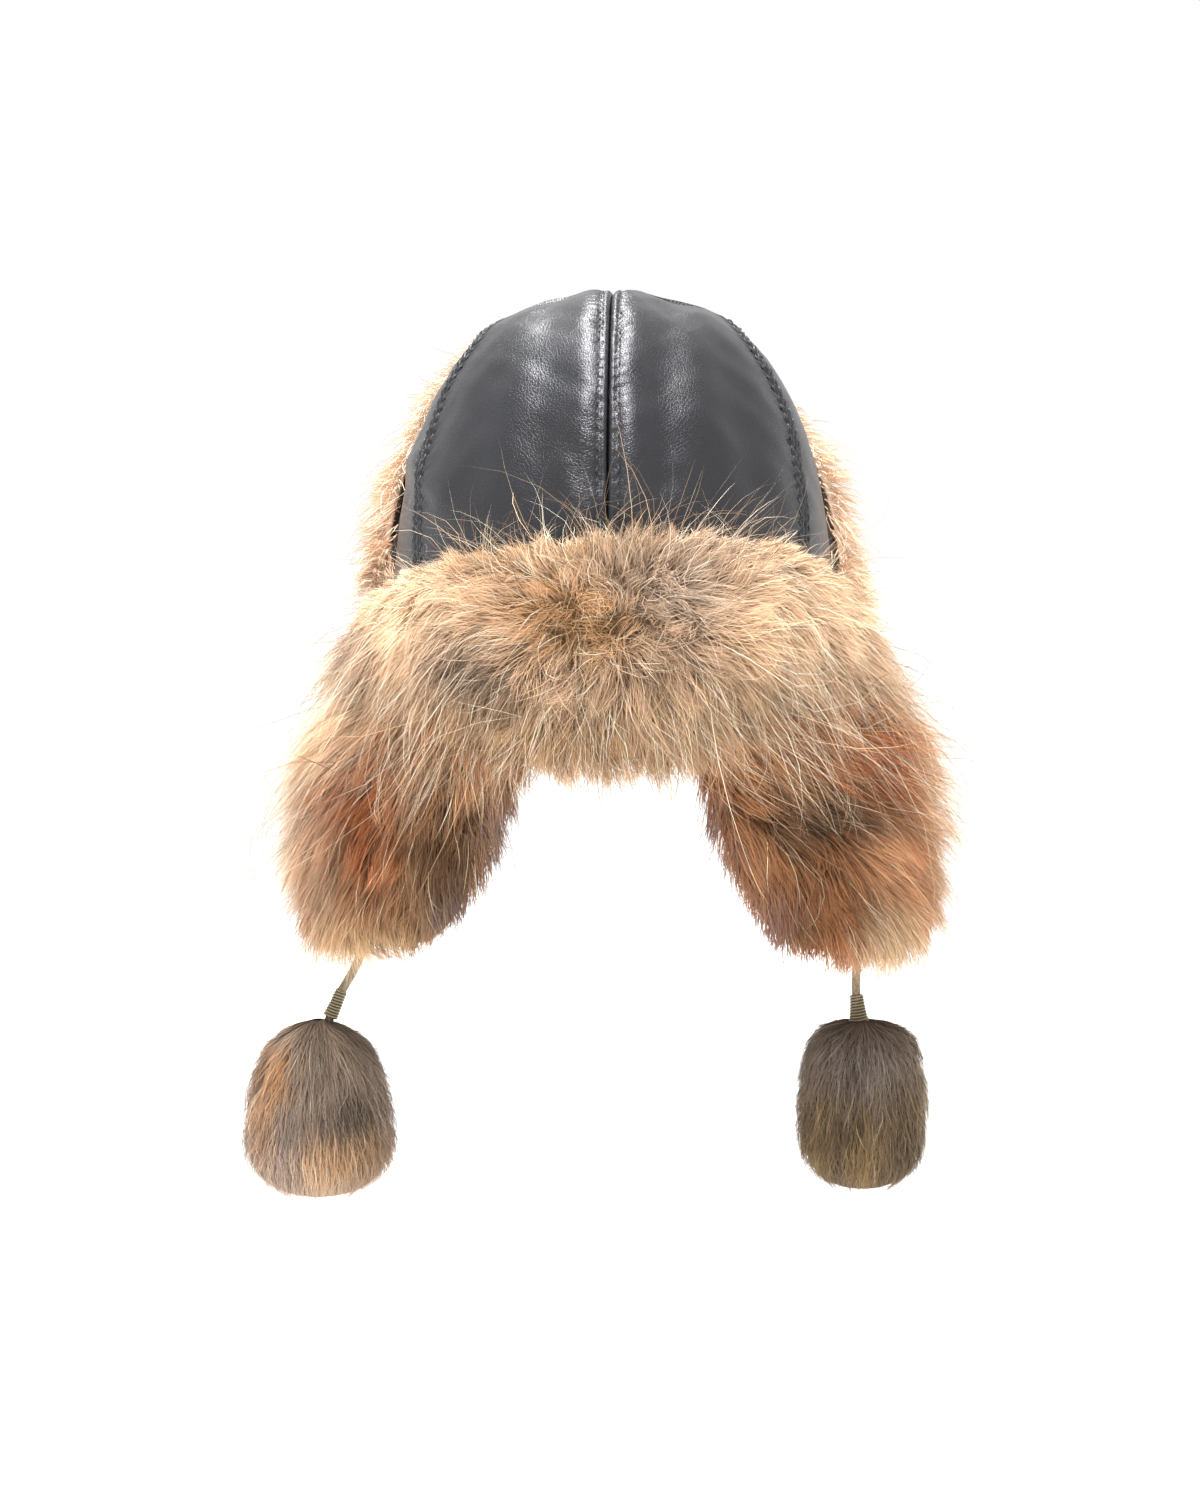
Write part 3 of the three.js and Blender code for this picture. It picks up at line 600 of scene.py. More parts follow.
# Peak fur. A turned-up strip of long fur with a whorl near its middle, from which the hair lies up
# over the crown, down over the brow and out to both ends. Pale guard hairs stray over the leather.
BACKING_WALL = 0.0024
SEAT_GAP = 0.0007
FLAP_LEAN = 0.004
PEAK_HALF_TURN = 80
PEAK_TURNS = [0, 0.5, 0.8, 1]
PEAK_TOPS = [1, 0.97, 0.76, 0.5]
PEAK_LEFT_TOPS = [1, 0.85, 0.64, 0.5]
PEAK_BOTTOMS = [0.02, 0.02, 0.02, 0.06]
PEAK_MARGINS = {"over": 0.001, "below": 0.024, "beside": 4}
PEAK_DEPTH = 0.024
FLAP_PELT_SHARE = 0.45
PELT_MARGIN_SHARE = 0.12
PELT_RIM_DEPTH = 0.12
PELT_CELLS = 90
# The pelt is painted as a darker copy of the hair's colour above it, painted shade deep in the fur
PELT_SHADE = 0.5
HAIR_SINK = 0.001
HAIR_ROOT_WIDTH = 0.75
HAIR_TAPER = 2.2
HAIR_TWIST = 0.5
# How much the hairs differ, as the least and the greatest share of what their layer says
STAND_SHARES = (0.4, 1.5)
LIE_SHARES = (0.8, 1.12)
LENGTH_SHARES = (0.75, 1.12)
WIDTH_SHARES = (0.7, 1.3)
TUFT_PULL_SHARES = (0.2, 1.3)
HAIR_PULL_SHARES = (0.5, 1.1)
LARGEST_PULL = 0.92
# Where hair starts to bend back, as the least and the greatest x, y and z, and how softly it does
FUR_REACH = [(-0.153, 0.151), (-0.153, 0.146), (-0.14, 0.17)]
FUR_REACH_SOFTNESS = 0.012

fur_finish = Finish("fur_hair", Roughness=0.6, Specular_IOR_Level=0.28, Sheen_Weight=0.05)
fur_finish.finish(colour=fur_finish.tint())
pelt_finish = Finish("fur_pelt", Roughness=0.9, Specular_IOR_Level=0.2)
pelt_finish.finish(colour=pelt_finish.tint(), relief=pelt_finish.noise(700.0, 4.0), depth=0.001)


def past_edges(share, low, high):
    """The share of the backing that a place is at, and how far past its edge it reaches."""
    inside = np.clip(share, 0, 1)
    past = share - inside
    return inside, np.where(past < 0, low * past, high * past)


def peak_top(share, on_left):
    """The peak's height at a share of the way from its middle to its end."""
    tops = [smooth_through(PEAK_TURNS, column, share) for column in (PEAK_LEFT_TOPS, PEAK_TOPS)]
    return PEAK_HEIGHT * np.where(on_left, *tops)


def peak_place(across, up, margin):
    """The turn and height of a place on the peak, from its shares across it and up it."""
    inside, beside = past_edges(across, margin["beside"], margin["beside"])
    level, over = past_edges(up, margin["below"], margin["over"])
    share = np.abs(2 * inside - 1)
    top = peak_top(share, inside < 0.5)
    bottom = PEAK_HEIGHT * smooth_through(PEAK_TURNS, PEAK_BOTTOMS, share)
    turn = PEAK_HALF_TURN * (2 * inside - 1) + beside
    return turn, bottom + (top - bottom) * level + over


def with_margins(share):
    """A pelt's share as one of its backing, from -1 at the low margin's end to 2 at the high one's."""
    share = share * (1 + 2 * PELT_MARGIN_SHARE) - PELT_MARGIN_SHARE
    inside = np.clip(share, 0, 1)
    return inside + (share - inside) / PELT_MARGIN_SHARE


def pelt_surface(place, lean, margin, depth, sign=1):
    """A function that gives a pelt's face from shares across it, up it and out from its back."""
    def surface(across, up, out=1.0):
        turn, height = place(with_margins(across), with_margins(up), margin)
        rim = [np.maximum(1 - np.abs(2 * share - 1) ** 3, 0) ** 0.6 for share in (across, up)]
        stand = depth(up) * (PELT_RIM_DEPTH + (1 - PELT_RIM_DEPTH) * rim[0] * rim[1])
        return hat_point(sign * turn, height, lean(height) + BACKING_WALL + SEAM_GAP + out * stand)
    return surface


def spread_roots(surface, count, random):
    """Shares across and up a pelt, as many of them on each square millimetre everywhere."""
    steps = np.linspace(0, 1, PELT_CELLS + 1)
    across, up = np.meshgrid(steps, steps)
    grid = surface(across, up)
    area = sized(np.cross(grid[:-1, 1:] - grid[:-1, :-1], grid[1:, :-1] - grid[:-1, :-1])).ravel()
    cell = random.choice(area.size, count, p=area / area.sum())
    row, column = np.divmod(cell, PELT_CELLS)
    return (column + random.random(count)) / PELT_CELLS, (row + random.random(count)) / PELT_CELLS


def facing(surface, across, up, outer):
    """The pelt's place at each share, and the way that it faces there."""
    step = 0.003
    right = surface(np.minimum(across + step, 1), up) - surface(np.maximum(across - step, 0), up)
    above = surface(across, np.minimum(up + step, 1)) - surface(across, np.maximum(up - step, 0))
    place = surface(across, up, outer)
    outward = unit(np.cross(right, above))
    outward = outward * np.sign((outward * outward_at(place)).sum(-1, keepdims=True) + 1e-9)
    return place, outward


def evenly(code, count):
    return np.tile(np.array(shade(code)[:3]), (count, 1))


def towards(colours, code, share):
    return colours + (np.array(shade(code)[:3]) - colours) * share


def touched(colours, patches, places, random, ragged):
    """Colours with soft-edged patches of others laid over them, each at an (x, z) with a reach."""
    stray = places + random.normal(0, ragged, places.shape)
    for code, middle, reach, strength in patches:
        off = ((stray[:, 0] - middle[0]) / reach[0]) ** 2 + ((stray[:, 2] - middle[1]) / reach[1]) ** 2
        share = strength * np.exp(-off ** 1.5)[:, None]
        colours = towards(colours, code, share)
    return colours


def picked_out(colours, code, part, strength, random):
    """Colours of which a random part are drawn towards another."""
    picked = random.random((len(colours), 1)) < part
    return np.where(picked, towards(colours, code, strength), colours)


def combed(roots, outward, flow, length, layer, random):
    """Each hair's points. It stands off the pelt at its root and bends over along the flow."""
    strength = np.minimum(sized(flow), 1)
    flow = flow - (flow * outward).sum(-1, keepdims=True) * outward
    flow = unit(flow) * (0.15 + strength) + layer["stray"] * random.normal(size=flow.shape)
    flow = unit(flow - (flow * outward).sum(-1, keepdims=True) * outward)
    sideways = np.cross(outward, flow)
    count, stations = len(roots), layer["stations"]
    stand = layer["stand"] * random.uniform(*STAND_SHARES, (count, 1))
    lie = layer["lie"] * (0.45 + 0.55 * strength) * random.uniform(*LIE_SHARES, (count, 1))
    swing = random.normal(0, layer["curl"], (count, 1))
    paths = [roots - outward * HAIR_SINK]
    for k in range(stations - 1):
        share = (k + 0.5) / (stations - 1)
        angle = np.radians(stand + (lie - stand) * share ** 0.6)
        way = outward * np.cos(angle) + flow * np.sin(angle) + sideways * swing * (share - 0.4) * 2
        way = unit(way + np.array([0, 0, -layer["droop"] * share]))
        paths.append(paths[-1] + way * length[:, None] / (stations - 1))
    return np.stack(paths, axis=1)


CLUMPING_PARTS = 24


def clumped(paths, count, pull, random):
    """Hairs drawn towards the nearest of a few guide hairs, more at their tips, and which guide."""
    guides = random.choice(len(paths), count, replace=False)
    roots = paths[:, 0]
    nearest = np.empty(len(paths), int)
    for part in np.array_split(np.arange(len(paths)), CLUMPING_PARTS):
        gap = ((roots[part, None] - roots[guides][None]) ** 2).sum(-1)
        nearest[part] = gap.argmin(1)
    share = np.linspace(0, 1, paths.shape[1])[None, :, None] ** 1.2
    own_pull = pull * random.uniform(*TUFT_PULL_SHARES, (count, 1, 1))[nearest]
    own_pull = own_pull * random.uniform(*HAIR_PULL_SHARES, (len(paths), 1, 1))
    own_pull = np.minimum(own_pull * share, LARGEST_PULL)
    return paths + (paths[guides][nearest] - paths) * own_pull, nearest


def kept_in(paths):
    """Hairs that reach far out of the fur are bent back a little."""
    for way, (low, high) in enumerate(FUR_REACH):
        for sign, limit in ((-1, -low), (1, high)):
            beyond = np.maximum(sign * paths[..., way] - limit, 0)
            bent = FUR_REACH_SOFTNESS * np.tanh(beyond / FUR_REACH_SOFTNESS)
            paths[..., way] += sign * (bent - beyond)
    return paths


def paint(mesh, colours):
    """Writes a colour on each point of a mesh, for the finishes that read the tint."""
    stops = np.concatenate([colours, np.ones((len(colours), 1))], axis=1)
    mesh.color_attributes.new("tint", "FLOAT_COLOR", "POINT").data.foreach_set("color", stops.ravel())


def hair_piece(name, paths, outward, width, tints, random):
    """One mesh of flat tapered strips, one for each hair, with a tint at each of their points."""
    count, stations, _ = paths.shape
    along = unit(np.gradient(paths, axis=1))
    across = unit(np.cross(along, outward[:, None]))
    over = np.cross(across, along)
    turn = random.normal(0, HAIR_TWIST, (count, 1, 1))
    across = across * np.cos(turn) + over * np.sin(turn)
    share = np.linspace(0, 1, stations)
    taper = (np.minimum(1, HAIR_ROOT_WIDTH + share) * (1 - share ** HAIR_TAPER))[None, :, None]
    half = across * taper * width[:, None, None] / 2
    pairs = np.stack([paths - half, paths + half], axis=2)[:, :-1].reshape(count, -1, 3)
    places = np.concatenate([pairs, paths[:, -1:]], axis=1)
    corners = places.shape[1]
    faces = []
    for k in range(0, corners - 3, 2):
        faces += [(k, k + 1, k + 3), (k, k + 3, k + 2)]
    faces.append((corners - 3, corners - 2, corners - 1))
    piece = faced_piece(name, places, np.array(faces), fur_finish.material)
    mesh = piece.data
    level = np.minimum((np.arange(corners) // 2) / (stations - 1), 1)
    level[-1] = 1
    lie = np.where(np.arange(corners) % 2, 0.85, 0.15)
    lie[-1] = 0.5
    cells = math.ceil(math.sqrt(count))
    row, column = np.divmod(np.arange(count), cells)
    spots = np.stack([
        (column[:, None] + lie) / cells, (row[:, None] + 0.1 + 0.8 * level) / cells,
    ], axis=-1).reshape(-1, 2)
    loops = np.empty(len(mesh.loops), int)
    mesh.loops.foreach_get("vertex_index", loops)
    mesh.uv_layers.new(name="OFBake").data.foreach_set("uv", spots[loops].ravel())
    stops = np.concatenate([np.repeat(tints[:, :-1], 2, axis=1), tints[:, -1:]], axis=1)
    paint(mesh, stops.reshape(-1, 3))
    return piece


def painted_pelt(name, made, fur, tone, random):
    """A pelt's mesh as a piece, in a share of the brightness of the hair above it: painted shade deep in
    the fur.
    """
    mesh = mesh_from(name, made, pelt_finish.material)
    places = np.array([v.co for v in mesh.vertices])
    colours = touched(evenly(fur["colour"], len(places)), fur["patches"], places, random, 0)
    paint(mesh, colours * tone)
    return in_scene(name, mesh)


def pelt_piece(name, surface, fur, random):
    """The skin under the hair: a face that bulges out, and a back that lies on the backing."""
    made = bmesh.new()
    columns, rows = fur["mesh"]
    edges = []
    for out in (1.0, 0.0):
        grid = bmesh.ops.create_grid(made, x_segments=columns, y_segments=rows, size=0.5)["verts"]
        flat = np.array([v.co for v in grid])
        for vertex, place in zip(grid, surface(flat[:, 0] + 0.5, flat[:, 1] + 0.5, out)):
            vertex.co = place
        sheet = {edge for vertex in grid for edge in vertex.link_edges}
        edges += [edge for edge in sheet if edge.is_boundary]
    bmesh.ops.bridge_loops(made, edges=sorted(edges, key=lambda edge: edge.index))
    bmesh.ops.recalc_face_normals(made, faces=made.faces)
    return painted_pelt(name, made, fur, PELT_SHADE, random)


def banded(low, high, layer, random):
    """Each hair's tints: dark at its root, its own colour above, and its tip's colour at its end."""
    share = np.linspace(0, 1, layer["stations"])[None, :, None]
    vary = np.exp(random.normal(0, layer["vary"], (len(low), 1, 1)))
    rooted = layer["root"] + (1 - layer["root"]) * eased(share, 0.0, 0.55)
    tints = low[:, None] + (high[:, None] - low[:, None]) * eased(share, 0.3, 0.95)
    return np.clip(tints * vary * rooted, 0, 0.97)


# How each layer of hair lies: its length's share, its angles off the pelt in degrees, its randomness,
# its tufts, its width in metres, its root's tone, and the parts of it that are pale, brown or loose
WOOL = {
    "part": "wool", "stations": 4, "reach": 0.8, "stand": 24, "lie": 66, "stray": 0.45, "curl": 0.35,
    "droop": 0.16, "clump": 60, "pull": 0.6, "width": 0.00042, "root": 0.52, "vary": 0.11,
    "pale": 0.0, "brown": 0.0, "long": 0.0,
}
GUARD = {
    "part": "hair", "stations": 6, "reach": 1.25, "stand": 20, "lie": 66, "stray": 0.34, "curl": 0.95,
    "droop": 0.38, "clump": 7, "pull": 0.75, "width": 0.00024, "root": 0.8, "vary": 0.2,
    "pale": 0.42, "brown": 0.3, "long": 0.06,
}
LOCK_SIZE = 0.03
LOCK_UNEVEN = 0.22
TUFT_SIZE = 0.008
TUFT_UNEVEN = 0.24
SHORTEST_LONE = 1.4
RIM_HAIR_SHARE = 0.6
LONE_BROWN_PART = 0.55
PICKED_STRENGTH = 0.75
TIP_LIGHTNESS = 1.12


def everywhere(roots):
    return np.ones(len(roots))


def lay_fur(name, node, surface, fur, seed):
    """A pelt with its wool and guard hairs, from how the fur lies and what colour it has where."""
    random = np.random.default_rng(seed)
    guarding, straying = fur.get("guarding", everywhere), fur.get("straying", everywhere)
    pieces = [pelt_piece(f"{name}_pelt", surface, fur, random)]
    for kind, count in zip((WOOL, GUARD), fur["counts"]):
        layer = {**kind, **fur.get(kind["part"], {})}
        across, up = spread_roots(surface, count, random)
        on_rim = random.random(count) < fur["rim"]
        low_side = random.random(count) < 0.5
        by_end = random.random(count) < 0.5
        across = np.where(on_rim & by_end, np.where(low_side, 0, 1), across)
        up = fur["lowest"] + (1 - fur["lowest"]) * up
        up = np.where(on_rim & ~by_end, np.where(low_side, 0, 1), up)
        outer = np.where(on_rim, random.uniform(-fur["under"], 1, count), 1)
        roots, outward = facing(surface, across, up, outer)
        length = fur["length"] * layer["reach"] * random.uniform(*LENGTH_SHARES, count)
        length = length * fur["fullness"](roots) * (1 + LOCK_UNEVEN * soft_waves(roots, LOCK_SIZE, seed))
        length = length * (1 + TUFT_UNEVEN * soft_waves(roots, TUFT_SIZE, seed + 5))
        length = length * np.where(on_rim, RIM_HAIR_SHARE, 1)
        if layer["part"] == "hair":
            length = length * guarding(roots)
        flow = fur["flow"](roots)
        lone = random.random(count) < layer["long"] * straying(roots)
        astray = random.normal(0, 0.5, (lone.sum(), 3))
        flow[lone] = flow[lone] * 0.7 + astray + np.array([0, 0, fur["lift"]])
        length = length * np.where(lone, random.uniform(SHORTEST_LONE, fur["longest"], count), 1.0)
        paths = combed(roots, outward, flow, length, layer, random)
        calm, nearest = clumped(paths, count // layer["clump"], layer["pull"], random)
        paths = kept_in(np.where(lone[:, None, None], paths, calm))
        middles = paths[:, layer["stations"] // 2]
        low = touched(evenly(fur["colour"], count), fur["patches"], middles, random, 0.005)
        low = low * np.exp(random.normal(0, 0.1, (count, 1)))[nearest]
        low = picked_out(low, fur["pale"], layer["pale"], PICKED_STRENGTH, random)
        browned = np.where(lone[:, None], LONE_BROWN_PART, layer["brown"])
        low = picked_out(low, fur["brown"], browned, PICKED_STRENGTH, random)
        high = touched(low * TIP_LIGHTNESS, fur["tips"], paths[:, -1], random, 0.004)
        tints = banded(low, high, layer, random)
        width = layer["width"] * random.uniform(*WIDTH_SHARES, count)
        pieces.append(hair_piece(f"{name}_{layer['part']}", paths, outward, width, tints, random))
    for piece in pieces:
        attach(piece, "root")
        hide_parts(node)


def turn_of(places):
    """Each place's turn from the front, in degrees."""
    return np.degrees(np.arctan2(places[:, 0], -places[:, 1]))


def sideways_at(places):
    angle = np.radians(turn_of(places))
    return np.stack([np.cos(angle), np.sin(angle), 0 * angle], axis=-1)


PEAK_WHORL_TURN = -3
PEAK_WHORL_HEIGHT = 0.034
# A fur's patches and tips are colours at an (x, z), with a reach to the side and up, and a strength.
# rim is the part of the hairs on its edges, under is how far those may start behind the pelt's face,
# lowest is where the others start, and lift and longest shape the loose ones.
PEAK_FUR = {
    "colour": "cba988",
    "patches": [
        ("d6b48f", (-0.01, 0.066), (0.05, 0.016), 0.8),
        ("bba693", (0.03, 0.05), (0.04, 0.024), 0.9),
        ("e4c3a0", (0.085, 0.044), (0.04, 0.03), 0.95),
        ("f3cfa9", (-0.09, 0.04), (0.035, 0.018), 0.9),
        ("bd8f59", (-0.012, 0.036), (0.03, 0.016), 0.8),
        ("4a3d35", (-0.06, 0.014), (0.017, 0.011), 0.98),
        ("65503c", (-0.046, 0.001), (0.016, 0.008), 0.85),
        ("604a30", (-0.003, 0.033), (0.005, 0.005), 0.65),
        ("5f4a32", (0.008, 0.023), (0.0035, 0.008), 0.75),
        ("5b4730", (0.021, 0.013), (0.006, 0.01), 0.85),
        ("5f4b35", (-0.015, 0.018), (0.004, 0.008), 0.8),
        ("75604a", (-0.002, 0.008), (0.0045, 0.011), 0.6),
        ("ab8a64", (-0.02, -0.016), (0.08, 0.013), 0.8),
        ("a08462", (0.06, 0.0), (0.03, 0.014), 0.5),
        ("8b7668", (-0.118, 0.014), (0.012, 0.016), 0.8),
    ],
    "tips": [
        # Pale tips at both ends of the peak, lightened near white as painted glow of the light from behind
        # at the fur's edges
        ("ffecd0", (-0.142, 0.02), (0.012, 0.06), 0.9),
        ("f6dcb8", (0.144, 0.03), (0.012, 0.06), 0.85),
    ],
    "pale": "f8e6ce",
    "brown": "6d543c",
    "counts": (36000, 6700),
    "length": 0.029,
    "mesh": (48, 20),
    "rim": 0.06,
    "under": 1,
    "lowest": 0.0,
    "lift": 0.9,
    "longest": 2.9,
    "wool": {"pull": 0.7, "root": 0.42, "lie": 71},
    "hair": {"long": 0.05, "lie": 71, "curl": 0.75, "droop": 0.3},
}


def near_peak_top(roots):
    """1 for a root at the peak's top edge, down to 0 for one that is well below it."""
    turn = turn_of(roots)
    share = np.minimum(np.abs(turn) / PEAK_HALF_TURN, 1)
    return 1 - eased(peak_top(share, turn < 0) - roots[:, 2], 0.002, 0.026)


def peak_flow(roots):
    """The hair lies away from the whorl, tousled near it, and droops towards both ends."""
    turn = turn_of(roots)
    beside, above = turn - PEAK_WHORL_TURN, roots[:, 2] - PEAK_WHORL_HEIGHT
    over, lift = beside / 36, above / 0.024
    whorl = np.exp(-(beside / 24) ** 2 - (above / 0.022) ** 2)
    over = over + 0.4 * soft_waves(roots, 0.034, 3) + 0.9 * whorl * soft_waves(roots, 0.013, 5)
    lift = lift + 0.4 * soft_waves(roots, 0.03, 4) + 0.9 * whorl * soft_waves(roots, 0.013, 6)
    lift = lift - 2.3 * eased(np.abs(turn), 14, 52)
    return sideways_at(roots) * over[:, None] + np.array([0, 0, 1.0]) * lift[:, None]


def peak_fullness(roots):
    """The hair is shorter in the whorl, along the top and over the brow, and longer at the ends."""
    turn, height = np.abs(turn_of(roots)), roots[:, 2]
    near = ((turn_of(roots) - PEAK_WHORL_TURN) / 18) ** 2 + ((height - PEAK_WHORL_HEIGHT) / 0.014) ** 2
    top = near_peak_top(roots)
    full = (1 - 0.3 * np.exp(-near)) * (1 - (0.4 + 0.2 * eased(turn, 14, 36)) * top)
    full = full * (1 - 0.3 * eased(-height, 0.0, 0.022) * (1 - eased(turn, 35, 60)))
    return full * (1 + 0.68 * eased(turn, 46, 68) * (1 - eased(height, 0.018, 0.048)))


def peak_guarding(roots):
    """The guard hairs are longer low down at both sides of the whorl."""
    low = 1 - eased(roots[:, 2], 0.0, 0.026)
    return 1 + 0.75 * (eased(np.abs(turn_of(roots)), 18, 34) * low)


def peak_straying(roots):
    """Most loose hairs stand along the top edge, and few of them at the ends."""
    ends = eased(np.abs(turn_of(roots)), 20, 60)
    return 0.6 + 5 * (near_peak_top(roots) * (1 - 0.85 * ends))


def turned_up(height, flap_height):
    """How far a turned-up flap leans away from the crown at each height."""
    return SEAT_GAP + FLAP_LEAN * np.maximum(height, 0) / flap_height


PEAK_FUR.update({
    "flow": peak_flow, "fullness": peak_fullness, "guarding": peak_guarding, "straying": peak_straying,
})
peak_surface = pelt_surface(
    peak_place, lambda height: turned_up(height, PEAK_HEIGHT),
    PEAK_MARGINS, lambda up: PEAK_DEPTH * FLAP_PELT_SHARE,
)
lay_fur("peak", "peak_fur", peak_surface, PEAK_FUR, 101)


# Ear flap fur. Long rust and tan fur hangs over each ear flap, thickest at its foot. It sweeps
# outwards to points at the outer edge, whose tips are lightened near white as painted glow of the
# light from behind, and is short and dark along the inner one, whose tips are painted slate grey as
# painted shade.
EAR_MIDDLE_TURN = 76
EAR_FORWARD_TURN = 48
EAR_BACK_TURN = 42
EAR_FALLS = [0, 0.5, 0.83, 0.95, 1]
EAR_FRONTS = [1, 0.86, 0.68, 0.56, 0.4]
EAR_BACKS = [1, 0.88, 0.7, 0.52, 0.36]
EAR_MARGINS = {"over": 0.0, "below": 0.001, "beside": 8}
EAR_DEPTH = 0.031
EAR_PELT_SHARE = 0.78
EAR_FUR = {
    "pale": "f0dfc0",
    "brown": "5d4733",
    "counts": (22500, 3700),
    "length": 0.038,
    "mesh": (26, 24),
    "rim": 0.08,
    "under": 1,
    "lowest": 0.05,
    "lift": -0.2,
    "longest": 1.8,
    "wool": {"stray": 0.3, "curl": 0.2, "pull": 0.75},
    "hair": {"pale": 0.1, "brown": 0.32, "long": 0.02, "curl": 0.4},
}


def ear_place(across, up, margin):
    """The turn and height of a place on an ear flap, from its shares across it and up it."""
    inside, beside = past_edges(across, margin["beside"], margin["beside"])
    level, over = past_edges(up, margin["below"], margin["over"])
    fall = 1 - level
    front = EAR_MIDDLE_TURN - EAR_FORWARD_TURN * smooth_through(EAR_FALLS, EAR_FRONTS, fall)
    back = EAR_MIDDLE_TURN + EAR_BACK_TURN * smooth_through(EAR_FALLS, EAR_BACKS, fall)
    height = -SEAM_GAP - (EAR_DROP - SEAM_GAP) * fall + over
    return front + (back - front) * inside + beside, height


def ear_depth(up):
    """How thick an ear flap's pelt is at each share of the way up."""
    return EAR_DEPTH * EAR_PELT_SHARE * (1.05 - 0.65 * eased(up, 0.5, 1))


EAR_FURS = {
    "left": {
        "colour": "b3845c",
        "patches": [
            ("8a4719", (-0.107, -0.044), (0.021, 0.034), 0.98),
            ("583d24", (-0.07, -0.064), (0.02, 0.034), 0.95),
            ("8a6a4a", (-0.085, -0.095), (0.02, 0.014), 0.7),
            ("c3a183", (-0.128, -0.086), (0.012, 0.03), 0.85),
            ("d6b88e", (-0.106, -0.112), (0.026, 0.012), 0.85),
            ("93786a", (-0.137, -0.054), (0.008, 0.014), 0.7),
            ("7d6551", (-0.12, -0.076), (0.004, 0.018), 0.5),
            ("6f5540", (-0.1, -0.09), (0.006, 0.009), 0.6),
            ("a66037", (-0.098, -0.072), (0.006, 0.024), 0.7),
            ("f3d2ac", (-0.128, -0.014), (0.02, 0.022), 0.85),
        ],
        "tips": [
            # Near-white tips along the outer edge, painted glow of the light from behind
            ("ffeace", (-0.152, -0.06), (0.009, 0.09), 0.95),
            # Slate grey tips along the inner edge, painted shade
            ("5c5e68", (-0.04, -0.066), (0.014, 0.03), 0.8),
            ("5c5e68", (-0.064, -0.105), (0.012, 0.02), 0.8),
            ("f3e0bd", (-0.115, -0.135), (0.04, 0.014), 0.7),
        ],
        "over": 0.0, "sweep": 0.08, "wide": 0.1, "lie": 78, "stand_out": 0.25, "foot": 0.36,
    },
    "right": {
        "colour": "a9734a",
        "patches": [
            ("94491a", (0.12, -0.034), (0.022, 0.02), 0.98),
            ("d39a6a", (0.143, -0.028), (0.01, 0.03), 0.7),
            ("3a2814", (0.09, -0.05), (0.028, 0.016), 0.98),
            ("473623", (0.12, -0.054), (0.012, 0.008), 0.9),
            ("d39b70", (0.126, -0.076), (0.012, 0.02), 0.85),
            ("744a2a", (0.092, -0.09), (0.022, 0.024), 0.85),
            ("d2b692", (0.124, -0.108), (0.016, 0.016), 0.95),
            ("5d4530", (0.112, -0.09), (0.007, 0.014), 0.7),
            ("b5764a", (0.1, -0.1), (0.006, 0.03), 0.6),
        ],
        "tips": [
            # Near-white tips along the outer edge, painted glow of the light from behind
            ("ffe8c8", (0.158, -0.06), (0.01, 0.09), 0.8),
            # Slate grey tips along the inner edge, painted shade
            ("5c5e68", (0.045, -0.066), (0.014, 0.03), 0.8),
            ("5c5e68", (0.068, -0.105), (0.012, 0.02), 0.8),
            ("f5e2c0", (0.125, -0.135), (0.03, 0.014), 0.7),
        ],
        "over": 0.3, "sweep": 0.7, "wide": 0.34, "lie": 74, "stand_out": 0.4, "foot": 0.08,
    },
}
EAR_EDGES = [-0.11, -0.015]


def ear_flow_on(sign, fur):
    """The hair hangs down and sweeps outwards, and stands off more at the outer edge."""
    def flow_at(roots):
        outwards = np.maximum((np.abs(turn_of(roots)) - 62) / 36, -0.3)
        high = eased(roots[:, 2], *EAR_EDGES)
        calm = 1 - fur["stand_out"] * eased(outwards, 0.2, 0.8)
        over = fur["over"] + 0.45 * outwards + fur["sweep"] * high + 0.25 * soft_waves(roots, 0.04, 8)
        lift = -1.1 + 0.7 * fur["sweep"] * high + 0.2 * soft_waves(roots, 0.05, 9)
        way = sideways_at(roots) * (sign * over)[:, None] + np.array([0, 0, 1.0]) * lift[:, None]
        return calm[:, None] * way
    return flow_at


def ear_fullness_of(fur):
    """The hair is longest at the outer edge high up, and short along the inner edge and the foot."""
    def fullness_at(roots):
        turn, height = np.abs(turn_of(roots)), roots[:, 2]
        outer, inner, low = eased(turn, 68, 100), 1 - eased(turn, 36, 66), eased(-height, 0.05, 0.105)
        full = 1 + fur["wide"] * outer * (1 - 0.9 * eased(-height, 0.02, 0.085))
        full = full * (1 - 0.25 * inner) * (1 - 0.35 * inner * low)
        return full * (1 - fur["foot"] * low * (1 - outer))
    return fullness_at


for side, sign in SIDES.items():
    fur = {**EAR_FUR, **EAR_FURS[side]}
    fur.update({
        "fullness": ear_fullness_of(fur), "flow": ear_flow_on(sign, fur),
        "wool": {**fur["wool"], "lie": fur["lie"]}, "hair": {**fur["hair"], "lie": fur["lie"]},
    })
    surface = pelt_surface(
        ear_place, lambda height: SEAM_GAP - BACKING_WALL + 0 * height, EAR_MARGINS, ear_depth, sign,
    )
    lay_fur(f"ear_{side}", f"ear_fur_{side}", surface, fur, 201 + sign)
